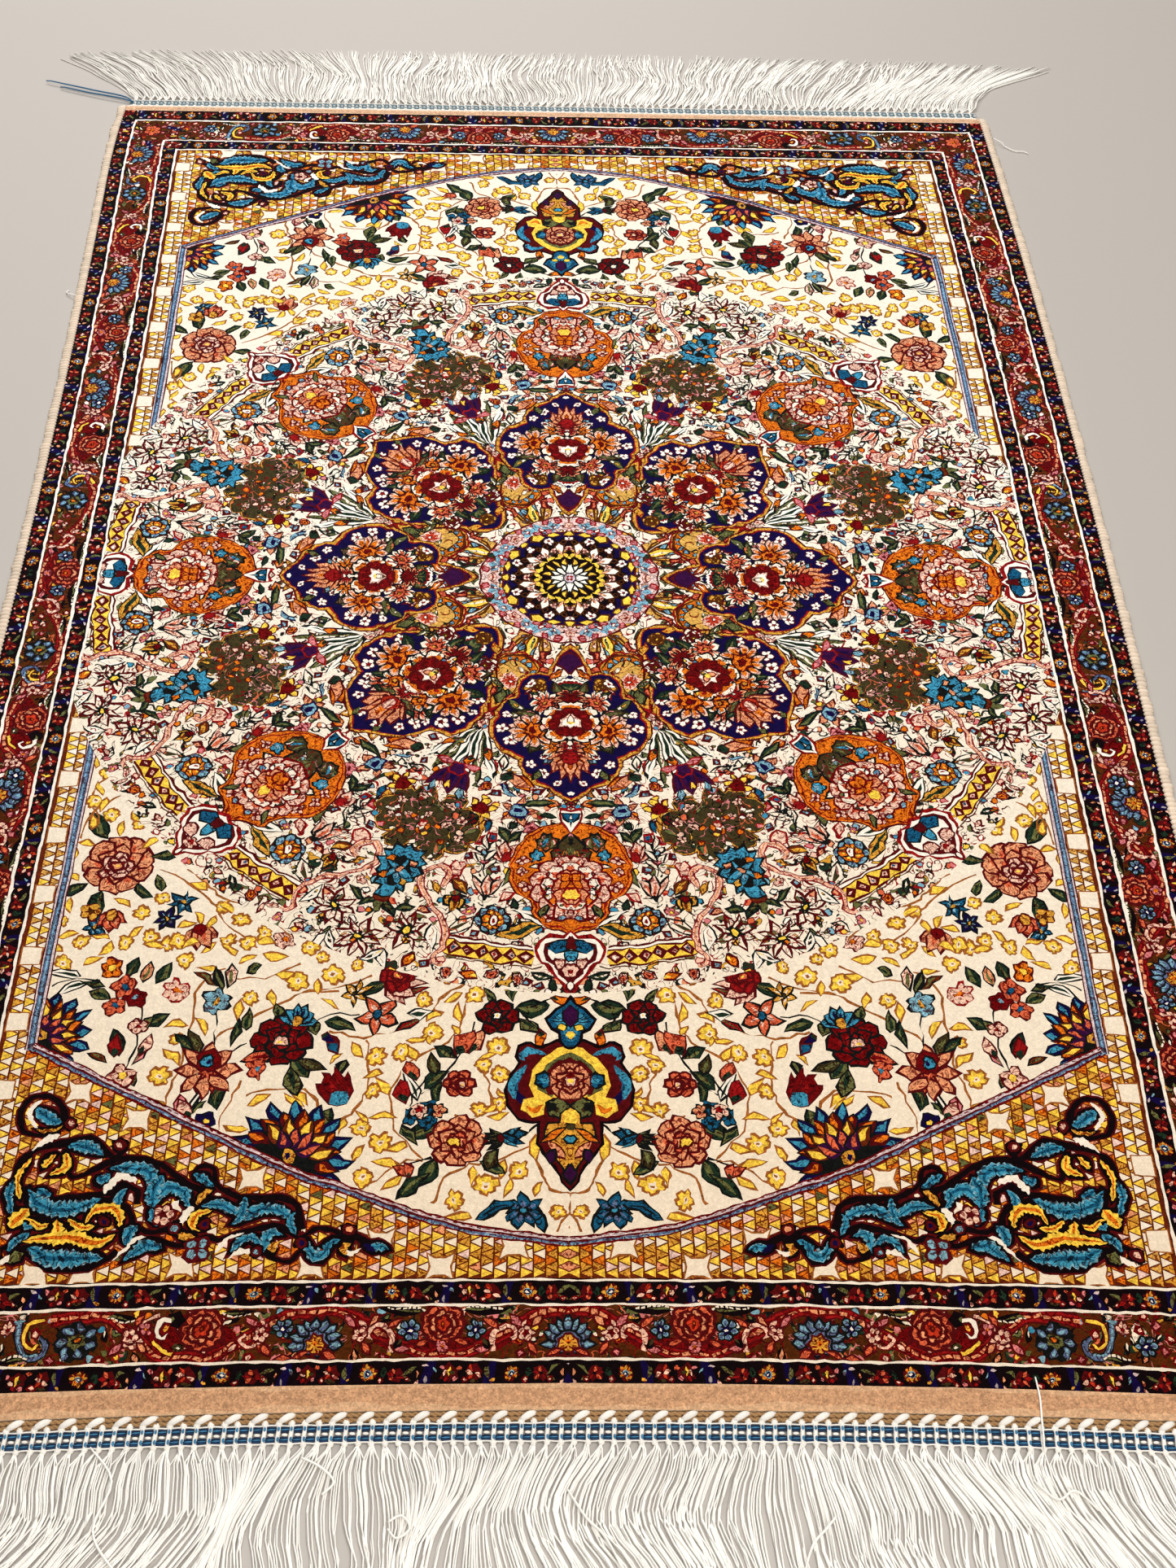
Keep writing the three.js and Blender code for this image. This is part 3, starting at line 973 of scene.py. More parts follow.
def picked(tree, value, names):
    """A ramp of flat steps, one for each dye named."""
    ramp = add_node(tree, "ShaderNodeValToRGB", {"Fac": value})
    ramp.color_ramp.interpolation = "CONSTANT"
    while len(ramp.color_ramp.elements) < len(names):
        ramp.color_ramp.elements.new(0.5)
    for i, name in enumerate(names):
        ramp.color_ramp.elements[i].position = i / len(names)
        ramp.color_ramp.elements[i].color = (*dyed(name)[:3], 1)
    return ramp.outputs["Color"]


def over(tree, under, top, amount):
    """top laid over under by amount."""
    return add_node(tree, "ShaderNodeMix", {0: amount, 6: under, 7: top}, data_type="RGBA").outputs[2]


def knotted_silk(name):
    """Cut silk pile: each knot a little lighter or darker, in bands of slightly uneven dye.

    The pile leans towards the near end; its colour carries painted shade there, darker and warmer, and a
    painted sheen towards the far end, a little lighter.
    """
    finish = bpy.data.materials.new(name)
    finish.use_nodes = True
    tree = finish.node_tree
    surface = tree.nodes["Principled BSDF"]
    dye = add_node(tree, "ShaderNodeAttribute", attribute_name="dye")
    work = add_node(tree, "ShaderNodeAttribute", attribute_name="small_work").outputs["Fac"]
    plan = add_node(tree, "ShaderNodeAttribute", attribute_name="plan").outputs["Vector"]
    place = add_node(tree, "ShaderNodeTexCoord").outputs["Object"]
    dark = add_node(tree, "ShaderNodeMath", {0: work, 1: 1.5}, operation="GREATER_THAN").outputs["Value"]
    carried = add_node(
        tree, "ShaderNodeMath", {0: work, 1: 0.5}, operation="GREATER_THAN").outputs["Value"]
    vines = add_node(tree, "ShaderNodeGroup", {0: plan}, node_tree=small_vines())
    pick, patch = vines.outputs["Pick"], vines.outputs["Patch"]
    coat = over(tree, dye.outputs["Color"], (*dyed("ink")[:3], 1), vines.outputs["Leaf Edge"])
    coat = over(tree, coat, picked(tree, patch, ("green", "moss", "gold", "moss", "cream")),
                vines.outputs["Leaf"])
    lines = over(tree, picked(tree, patch, ("maroon", "red", "ink", "red", "maroon", "crimson")),
                 picked(tree, patch, ("crimson", "salmon", "black", "pink", "crimson")), dark)
    coat = over(tree, coat, lines, vines.outputs["Vine"])
    coat = over(tree, coat, picked(tree, patch, ("maroon", "ink", "red")), vines.outputs["Bud Edge"])
    buds = picked(
        tree, pick, ("peach", "pink", "sky", "yellow", "blush", "orange", "turquoise", "salmon", "ivory"))
    coat = over(tree, coat, buds, vines.outputs["Bud"])
    coat = over(tree, dye.outputs["Color"], coat, carried)
    veined = add_node(tree, "ShaderNodeMath", {0: work, 1: 0.0}, operation="LESS_THAN").outputs["Value"]
    veins = add_node(tree, "ShaderNodeMath", {0: veined, 1: vines.outputs["Vein"]}, operation="MULTIPLY")
    deeper = add_node(
        tree, "ShaderNodeVectorMath", {0: coat, 1: (0.30, 0.12, 0.13)}, operation="MULTIPLY")
    coat = over(tree, coat, deeper.outputs["Vector"], veins.outputs["Value"])
    knots = add_node(tree, "ShaderNodeTexVoronoi", {"Vector": place, "Scale": 900})
    clumps = add_node(tree, "ShaderNodeTexNoise", {"Vector": place, "Scale": 260, "Detail": 3})
    vary = add_node(tree, "ShaderNodeSeparateColor", {"Color": knots.outputs["Color"]})
    spread = add_node(
        tree, "ShaderNodeMapRange", {"Value": vary.outputs["Red"], "To Min": 0.66, "To Max": 1.34})
    blotch = add_node(tree, "ShaderNodeMapRange",
                      {"Value": clumps.outputs["Fac"], "From Min": 0.3, "From Max": 0.7, "To Min": 0.72,
                       "To Max": 1.24})
    both = add_node(tree, "ShaderNodeMath", {0: spread.outputs["Result"], 1: blotch.outputs["Result"]},
                    operation="MULTIPLY")
    amount = add_node(tree, "ShaderNodeMix", {0: dye.outputs["Alpha"], 2: 1.0, 3: both.outputs["Value"]})
    tint = add_node(
        tree, "ShaderNodeVectorMath", {0: coat, "Scale": amount.outputs[0]}, operation="SCALE")
    along = add_node(tree, "ShaderNodeSeparateXYZ", {0: place}).outputs["Y"]
    # Painted shade and sheen: the dye is darkened and warmed towards the near end and lightened a little
    # towards the far end.
    painted_sheen_and_shade = add_node(tree, "ShaderNodeMapRange",
                   {"Vector": along, "From Min": (-0.75,) * 3, "From Max": (0.1,) * 3,
                    "To Min": (0.80, 0.69, 0.58), "To Max": (1.02, 1.02, 1.02)}, data_type="FLOAT_VECTOR")
    shade = add_node(tree, "ShaderNodeVectorMath", {0: tint.outputs["Vector"], 1: painted_sheen_and_shade.outputs["Vector"]},
                     operation="MULTIPLY")
    tree.links.new(shade.outputs["Vector"], surface.inputs["Base Color"])
    bump = add_node(tree, "ShaderNodeBump",
                    {"Strength": 0.5, "Distance": 0.0006, "Height": knots.outputs["Distance"]})
    tree.links.new(bump.outputs["Normal"], surface.inputs["Normal"])
    surface.inputs["Roughness"].default_value = 0.62
    surface.inputs["Specular IOR Level"].default_value = 0.02
    return finish


silk = knotted_silk("knotted_silk_pile")


def arc(radius, low, high, step=2.5):
    """Points of an arc of the plan, from one angle to another in degrees."""
    count = max(2, round(abs(math.radians(high - low)) * radius / step))
    return [cmath.rect(radius, math.radians(low + (high - low) * i / count)) for i in range(count + 1)]


def wedge_patch(domain, drawing):
    places, triangles, colours = woven(drawing, domain, dye_names)
    return [on_mirror_lines(p) for p in places], triangles, colours


def line(start, end, step=6):
    count = max(1, round(abs(end - start) / step))
    return [start + (end - start) * i / count for i in range(count + 1)]

# The ring round the rosette is a garden of orange medallions, olive bunches and turquoise stars on
# cream, inside a red rim. It is silk pile like the rosette, knotted in the same sitting. One eighth
# is drawn for both and turned over to go all the way round.


def mixed_row(route, spacing, kinds, turn=0.0):
    """Different small shapes in turn along a line."""
    made = []
    for i, (place, heading) in enumerate(along(route, spacing)):
        made += moved(kinds[i % len(kinds)], place, heading + turn)
    return made


def orange_medallion():
    """A lobed orange panel with a pink rose, drawn along x from the middle of the carpet."""
    half = plan((284, 0), (284, -10), (289, -22), (299, -34), (311, -42), (325, -45.5), (340, -44.5),
                (351, -39), (357, -28), (366, -27), (375, -26), (381, -18), (384, -8), (391, 0))
    outline = both_halves(half)
    made = [("maroon", grown(outline, 3.8)), ("orange", grown(outline, 2.6)),
            ("red", grown(outline, 1.1))]
    made += [("orange", outline)]
    # Three dark clumps of leaves, two blue flowers and small pink crosses, round a pale rose.
    made += inked("olive",
                  plan((293, 0), (302, 9), (312, 14), (323, 15), (324, 0), (323, -15), (312, -14),
                       (302, -9)), 0.9, "ink")
    for y, turn in ((0, 0), (5, 10), (-5, -10), (10, 22), (-10, -22), (3, -4), (-3, 4)):
        made += moved(
            [("moss", blade(9 - abs(y) * 0.2, 2.4, 0, 1, 3))], complex(302 + abs(y) * 1.1, y), turn)
    clump = moved(inked("olive", scalloped(9, 7, 0.2, 2), 0.9, "ink"), 12)
    for y, turn in ((-3, -12), (0, 4), (3, 16)):
        clump += moved([("moss" if y else "turquoise", blade(12, 2.6, 0, 1, 3))], complex(6, y), turn)
    made += in_pairs(
        0,
        (clump, 291 + 14j, 26),
        (inked("turquoise", scalloped(5.6, 5, 0.3), 0.8, "ink") + [("sky", disc(2.4, 5))], 316 + 27j),
        (pointed("cream", 13, 4, 0.2, ink="ink"), 326 + 18j, 75),
    )
    small = daisy(4.8, 4, "blush", "maroon", "crimson", 0.8)
    for x, y in ((320, 38), (332.5, 38), (346, 36), (374, 16)):
        made += both_sides(moved(small, complex(x, y), 45), 0)
    for radius, count, petal, colour in (
            (24, 12, 8.4, "blush"), (17, 9, 7.4, "cream"), (10.5, 7, 6.2, "peach")):
        ring = moved(inked(colour, scalloped(petal, 3, 0.15), 0.9, "crimson")
                     + [("salmon", disc(petal * 0.36, 5))], radius)
        ring += moved([("red", blade(petal * 0.9, 1.3, 0.3, 1, 2))], radius - 1)
        made += moved(round_the(ring, count, 9 * petal), 346)
    made += moved(round_the(inked("orange", moved_outline(blade(9, 6, 0.2), 1), 0.8, "crimson"), 5), 341)
    made += moved(inked("yellow", scalloped(5, 6, 0.25), 0.8, "red"), 353)
    made += in_pairs(
        0,
        (inked("sky", disc(2.4, 5), 0.8, "maroon"), 377 + 8j),
        (leaf(13, 5, 0.2, "moss"), 364 + 20j, 10),
    )
    # The ornament that ties it to the petal above.
    made += inked("ivory",
                  plan((268, 7), (273, 9), (280, 7), (287, 3), (290, 0), (287, -3), (280, -7), (273, -9),
                       (268, -7), (271, 0)), 1.2, "red")
    made += both_sides(inked("blue", plan((273, 1), (272, 6), (277, 7), (281, 3)), 0.7, "ink"), 0)
    made += inked("turquoise", plan((279, -3), (279, 3), (285, 0)), 0.6, "ink")
    made += both_sides([("red", stroke(plan((257, 1.6), (264, 1), (268, 7)), 1.3, fine=2))], 0)
    return made


def rim_head():
    """The heart-shaped clasp where the rim of the circle meets a medallion, drawn along x."""
    half = plan((391, 0), (396, -6), (394, -14), (399, -22), (408, -25), (418, -22), (424, -15),
                (432, -10), (437, -5), (444, 0))
    outline = both_halves(half)
    made = inked("ivory", outline, 1.6, "red")
    made += [("maroon", [412 + (p - 412) * 0.86 for p in outline])]
    made += [("ivory", [412 + (p - 412) * 0.72 for p in outline])]
    made += both_sides(
        inked("blue", plan((399, 0), (397, 9), (404, 17), (409, 12), (406, 5)), 0.8, "ink"), 0)
    made += inked("turquoise", plan((407, -4), (407, 4), (414, 3), (416, 0), (414, -3)), 0.8, "ink")
    made += moved(inked("maroon", scalloped(5, 4, 0.3), 0.4, "ink"), 401)
    made += both_sides(moved(inked("blush", scalloped(4.6, 4, 0.2), 0.9, "maroon"), 420 + 9j), 0)
    made += moved(inked("blush", scalloped(5.4, 5, 0.25), 1.0, "maroon") + [("red", disc(2.4, 5))], 427)
    return made + moved(pointed("ivory", 8, 5, edge=0.9), 435)


def rim_band():
    """A yellow band of small framed flowers on the rim, from one clasp to the next bracket."""
    def arc(radius, low=4, high=13.6, steps=6):
        return [polar(radius, low + (high - low) * i / steps) for i in range(steps + 1)]
    made = [("brown", arc(424.5, 3, 13) + arc(423.4, 3, 13)[::-1])]
    made += [("maroon", arc(422.4) + arc(403.5)[::-1])]
    made += [("ivory", arc(407) + arc(405.4)[::-1])]
    made += [("yellow", arc(420.8) + arc(408.2)[::-1])]
    box = inked("blush", disc(2.9, 4), 1.3, "maroon")
    hearts = [box + [(c, disc(1.5, 4))] for c in ("ivory", "blue", "red", "blue", "red", "blue")]
    return made + mixed_row(arc(414.5), 11.4, hearts)


def bracket():
    """A double-edged ribbon that curls from the medallion side out to the rim."""
    curl = plan((103, 345), (97, 340), (96, 331), (103, 325), (112, 328), (118, 338), (116, 352),
                (107, 366), (99, 380), (96, 393), (99, 404), (106, 411), (105, 418), (99, 419))
    made = [("red", stroke(curl, 5.6, 5, 2)), ("blush", stroke(curl, 3.4, 3, 2)),
            ("peach", stroke(curl, 1.2, 1, 2))]
    return made + moved(pointed("gold", 13, 4.5, 0.3, edge=0.7, ink="brown"), 104 + 352j, -80)


def olive_bunch():
    """A dark bush with gold-green hems and small pink flowers, drawn along x."""
    made = []
    knobs = [(279, -12), (279, 13), (287, -27), (288, 27), (300, -35), (302, 35), (315, -30), (316, 31),
             (327, -15), (328, 16)]
    for size, colour in ((11.6, "maroon"), (10.8, "gold"), (10.0, "olive")):
        made += [(colour, [complex(*k) + p for p in scalloped(size, 7, 0.1, 2)]) for k in knobs]
    made += [("olive", [305 + complex(p.real * 0.78, p.imag) for p in scalloped(31, 11, 0.13)])]
    small = daisy(3.8, 5, "blush", "maroon", "black", 0.7)
    for x, y in ((280, -12), (281, 13), (291, -27), (292, 27), (308, -31), (310, 31), (296, -2),
                 (300, 16), (302, -17)):
        made += moved(small, complex(x, y))
    for x, y in ((305, -14), (306, 14), (318, -4), (312, 5), (322, -20), (322, 20)):
        made += moved(pointed("orange", 6, 4, edge=0.5), complex(x, y), 180 + 3 * y)
    return made


def turquoise_star():
    """A ragged blue star flower with orange buds, drawn along x."""
    made = both_sides(moved(leaf(16, 6, 0.2, "green"), 386 + 3j, 30), 0)
    made += moved(leaf(18, 6, 0, "moss"), 384)
    points = plan((331, 0), (336, 6), (333, 13), (340, 13), (343, 21), (348, 16), (352, 24), (357, 17),
                  (364, 20), (366, 12), (375, 14), (374, 7), (384, 6), (386, 0))
    outline = both_halves(points)
    made += inked("rust", [384 + p for p in scalloped(6, 4, 0.2)], 0.8, "maroon")
    outline = [357 + complex((p.real - 357) * 0.98, p.imag * 0.8) for p in outline]
    made += inked("turquoise", outline, 1.0, "ink")
    made += [("ink", [357 + (p - 357) * 0.6 for p in outline])]
    for turn in (0, 72, 144, 216, 288):
        piece = pointed("turquoise", 13, 6, belly=0.8, edge=0.6, ink="ink")
        piece += [("sky", blade(8, 2.8, 0, 0.8, 3))]
        made += moved(piece, 358, turn + 20)
    for x, y, c in ((348, -9, "orange"), (347, 9, "peach"), (364, -10, "orange"), (366, 9, "gold"),
                    (356, 0, "peach")):
        made += moved(inked(c, scalloped(3, 4, 0.25), 0.7, "ink"), complex(x, y))
    return made


def blue_rosette():
    petal = moved(inked("sky", disc(3.8, 7), 0.8, "ink") + [("slate", disc(1.8, 5))], 9.8)
    inner = moved(inked("orange", disc(2.9, 6), 0.6, "ink") + [("yellow", disc(1.2, 4))], 6.2)
    made = [("maroon", scalloped(14.4, 8, 0.16))] + round_the(petal, 8)
    made += round_the(inner, 8, 22.5)
    return made + inked("ivory", disc(3.8, 8), 0.7, "maroon") + [("red", disc(1.8, 5))]


def white_star():
    """A large pale flower of narrow pointed petals outlined in red."""
    petal = pointed("cream", 16.5, 5.6, belly=0.9, edge=1.1) + [("blush", blade(12, 1.8, 0, 1, 3))]
    made = round_the(petal, 8) + round_the([("ink", blade(8, 2.4, 0, 1, 3))], 8)
    return made + inked("yellow", disc(2.6, 6), 1.0, "ink")


def lily(length=22, colour="blush", inner="salmon", ink="ink"):
    made = both_sides(moved(pointed(colour, length, length * 0.3, 0.3, ink=ink)
                            + [(inner, blade(length * 0.7, length * 0.12, 0.3))], turn=14), 0)
    made += pointed(colour, length * 0.95, length * 0.28, ink=ink)
    made += [(inner, blade(length * 0.7, length * 0.12))]
    return made + [(ink, disc(length * 0.1, 5))]


def twig(length, leaves=4, ink="ink", fill="cream"):
    """A bare stem with narrow outlined leaves on both sides."""
    made = [(ink, stroke(plan((0, 0), (length * 0.5, length * 0.04), (length, 0)), 1.3, 0.8, 2))]
    for i in range(leaves):
        part = pointed(fill, length * 0.34, length * 0.12, edge=0.7, ink=ink)
        made += moved(part, length * (0.25 + 0.6 * i / leaves), 38 if i % 2 else -38)
    return made + moved(pointed(fill, length * 0.3, length * 0.11, edge=0.7, ink=ink), length * 0.85)


def garden_half():
    """What grows beside a medallion, drawn between the long axis and the line halfway to the next one."""
    made = []
    made += moved(tulip(27, 24, "orange", "peach", "maroon", "green"), 54 + 232j, 148)
    made += moved(pointed("sky", 16, 3.4, 0.1, edge=0.6, ink="navy"), 57 + 242j, 128)
    blue_bell = inked("sky", scalloped(7, 3, 0.2), 0.8, "navy")
    blue_bell += [("navy", [p * 0.5 for p in scalloped(7, 3, 0.2)])]
    made += moved(round_the(moved(bud(10, "peach"), 5), 5, 36), 43 + 270j)
    made += moved(blue_bell, 43 + 269j, 90)
    made += moved(round_the(moved(pointed("yellow", 8, 4.5, edge=0.7), 3.5), 6), 73 + 267j)
    made += moved(inked("crimson", scalloped(5.5, 5, 0.2), 0.6, "maroon"), 73 + 267j)
    made += moved(leaf(13, 6, 0.3, "gold", "cream", "maroon"), 9 + 246j, 20)
    made += moved(leaf(12, 7, -0.4, "orange", "peach", "maroon"), 10 + 263j, 0)
    made += moved(leaf(26, 6, 0.2, "green"), 14 + 262j, -10)
    made += moved(daisy(6.4, 6, "pink", "maroon", "maroon"), 31 + 288j)
    made += moved(pointed("blue", 12, 5, edge=0.7, ink="ink"), 66 + 279j, 75)
    made += moved(pointed("gold", 12, 4, 0.3, edge=0.6), 70 + 279j, 60)
    for x, y, colour in ((79, 290, "blue"), (62, 298, "blue"), (73, 299, "pink")):
        made += moved(inked(colour, disc(2.6, 4), 1.2, "red"), complex(x, y), 45)
    made += moved(lotus(17, 120, 5, ("blush", "salmon", "red"), "maroon"), 52 + 319j, -90)
    made += moved(leaf_pair(15, 5, 60, "green"), 50 + 301j, -100)
    made += moved(twig(34, 5, "ink", "cream"), 69 + 336j, -92)
    made += moved(lily(24, "blush", "salmon"), 67 + 358j, -93)
    made += moved(leaf(20, 7, 0.3, "moss"), 53 + 345j, -125)
    made += moved(leaf(16, 8, 0.3, "rust", "gold", "ink"), 84 + 352j, -70)
    made += moved(inked("blush", scalloped(6.4, 3, 0.25), 0.9, "red"), 90 + 327j, 20)
    made += moved(lotus(14, 70, 3, ("gold", "rust", "crimson"), "ink", 0.5), 90 + 356j, 75)
    made += moved(leaf(38, 11, 0.1, "ivory", "green"), 8 + 386j, -30)
    made += moved(leaf(36, 11, 0.05, "gold", "green"), 22 + 384j, 12)
    made += moved(leaf(26, 10, 0.15, "cream", "olive"), 97 + 391j, 205)
    made += moved(blue_rosette(), 60 + 378j)
    made += moved(pointed("blush", 12, 6, 0.4, edge=0.9, ink="red"), 44 + 352j, 20)
    made += bracket()
    made += moved(white_star(), polar(409, 18.2), 20)
    made += moved(leaf(19, 8, 0.2, "ivory", "cream"), 107 + 384j, 80)
    made += moved(leaf(16, 5, 0.3, "green"), 122 + 367j, -10)
    made += moved(leaf_pair(18, 6, 50, "ivory", "cream"), 143 + 407j, 60)
    return made


def filled(region, drawing, kinds, gap, seed, margin=1.5):
    """Small things scattered over the bare parts of a region, none touching what is drawn there."""
    random.seed(seed)
    cells = {}
    for _, outline in drawing:
        for a, b in zip(outline, outline[1:] + outline[:1]):
            count = int(abs(b - a) / 2.5) + 1
            for i in range(count):
                p = a + (b - a) * i / count
                cells.setdefault((int(p.real // 8), int(p.imag // 8)), []).append(p)
    made = []
    for place in region(gap):
        kind, reach = kinds[random.randrange(len(kinds))]
        column, line = int(place.real // 8), int(place.imag // 8)
        near = [q for i in (-1, 0, 1) for j in (-1, 0, 1) for q in cells.get((column + i, line + j), ())]
        if all(abs(q - place) > reach + margin for q in near):
            shapes = moved(kind, place, random.uniform(0, 360))
            made += shapes
            for _, outline in shapes[:1]:
                for p in outline:
                    cells.setdefault((int(p.real // 8), int(p.imag // 8)), []).append(p)
    return made


def loose_grid(gap, low, high):
    """Unevenly spaced places over a rectangle of the plan."""
    places = []
    rows = int((high.imag - low.imag) / gap)
    for j in range(rows + 1):
        for i in range(int((high.real - low.real) / gap) + 1):
            wander = complex(random.uniform(-0.35, 0.35), random.uniform(-0.35, 0.35)) * gap
            places.append(low + complex(i + 0.5 * (j % 2), j) * gap + wander)
    return places


def wedge_drawing():
    """One eighth of the circle, from the long axis to the diagonal; the rest are its mirror images."""
    halfway = 67.5
    between = moved(olive_bunch() + turquoise_star(), 0, halfway)
    medallion = orange_medallion() + rim_head()
    medallions = moved(medallion, 0, 90) + moved(medallion, 0, 45)
    garden = both_sides(garden_half(), halfway) + moved(white_star(), polar(427, 90 - halfway), halfway)
    middle = moved(between_petals(), 0, halfway) + moved(lantern(), 0, halfway)
    petals = petal_on_axis() + moved(petal_on_diagonal(), 0, 45)
    band = both_sides(rim_band(), halfway)
    drawn = band + garden + between + medallions + middle + petals + centre()

    def bare(gap):
        return [p for p in loose_grid(gap, 0j, complex(ring_radius, ring_radius))
                if p.real <= p.imag and 82 < abs(p) < 440]
    sprig = [("maroon", stroke(spiral(4.6, 1), 1.2, 0.9, 1))] + moved(pointed("blush", 8, 4), 3)
    large = [
        (moved(leaf(13, 6, 0.3, "green", "cream", "ink"), -6.5), 7),
        (moved(leaf(13, 6, 0.3, "moss", "cream", "ink"), -6.5), 7),
        (moved(pointed("cream", 13, 5.6, 0.3, edge=0.9, ink="ink") + [("green", blade(8, 1.4, 0.3))],
               -6.5), 7), (frill(6, "blush", "salmon", "maroon", 6), 6.5),
        (frill(6, "salmon", "orange", "maroon", 6), 6.5), (sprig, 6.5),
        (moved(pointed("orange", 11, 6, 0.2, edge=0.9) + [("yellow", blade(6, 2.4, 0.2))], -5.5), 6)]
    middling = [(moved(pointed("green", 9, 4, 0.2, edge=0.7, ink="ink"), -4.5), 4.6),
                (moved(pointed("cream", 9, 4, 0.25, ink="ink"), -4.5), 4.6),
                (moved(pointed("peach", 8, 4.4, 0.2, edge=0.9), -4), 4.4),
                (daisy(3.9, 5, "blush", "red", "maroon", 0.7), 4.4),
                (daisy(3.9, 5, "pink", "yellow", "maroon", 0.7), 4.4),
                ([("maroon", stroke(spiral(3.8, 1), 1.2, 0.9, 1))], 4),
                (inked("sky", disc(2.2, 4), 1.2, "maroon"), 3.6),
                ([("ink", stroke(spiral(3.8, 1), 1.2, 0.9, 1))], 4)]
    for kinds, gap, margin, seed in ((large, 7, 0.6, 3), (middling, 5, 0.4, 11)):
        drawn = filled(bare, drawn, kinds, gap, seed, margin) + drawn
    return by_hand(drawn)


circle = wedge_drawing()
across_circle = [(colour, [complex(p.imag, p.real) for p in outline]) for colour, outline in circle]
rosette_edge = arc(rosette_radius, 45, 90)
rosette_patches = mirrored_patch(wedge_patch([0j, *rosette_edge], circle), ("diagonal", "x", "y"))
rosette_work = {"cream": 1, "lace": 1, "amber": 1, "olive": 2}
rosette = knotted_slab("pile_rosette", rosette_patches, pile_foot, pile_top, silk, rosette_work)

# The borders clip the ring flat at both sides, so its two kinds of eighth differ there.
cut = math.degrees(math.acos(field_side / ring_radius))
clipped = ring_radius * math.sin(math.radians(cut))
above = [*arc(ring_radius, 45, 90), *reversed(rosette_edge)]
beside = [*arc(rosette_radius, 0, 45), *reversed(arc(ring_radius, cut, 45))]
beside += line(complex(field_side, clipped), field_side + 0j)[1:]
ring_patches = mirrored_patch(wedge_patch(above, circle), ("x", "y"))
ring_patches += mirrored_patch(wedge_patch(beside, across_circle), ("x", "y"))
ring = knotted_slab("pile_ring", ring_patches, pile_foot, pile_top, silk, {"cream": 1, "olive": 2})

# The field is the pile between the ring and the borders: a pale ground of gold flowers, vines and dark
# palmettes, with leafy scrollwork on a lattice of small triangles in each corner. It is knotted like
# the rest, as a far and a near half which mirror one another.


ARC = plan((0, 651), (60, 643), (100, 632), (150, 613), (200, 594), (250, 568), (300, 542), (350, 516),
           (396, 492))


def crescent(points, width, fine=3):
    """A curved lens that follows a route and closes to a point at both ends."""
    route = curve(points, fine=fine)
    last = len(route) - 1
    left, right = [], []
    for i in range(1, last):
        ahead = route[i + 1] - route[i - 1]
        side = 1j * ahead / abs(ahead) * width / 2 * math.sin(math.pi * i / last) ** 0.7
        left.append(route[i] + side)
        right.append(route[i] - side)
    return [route[0], *right, route[-1], *reversed(left)]


def gold_flower(radius, petals=6):
    return inked("yellow", scalloped(radius * 0.88, petals, 0.3), 0.9, "vine") + [(
        "cream", scalloped(radius * 0.42, 5, 0.3, 2)), ("vine", disc(radius * 0.2, 4))]


def gold_leaf(length, bend=0.35):
    return pointed("yellow", length, length * 0.4, bend, 0.9, 0.7, "vine")


def vine(*places):
    return [("vine", stroke(plan(*places), 1.7, 1.5, 4))]


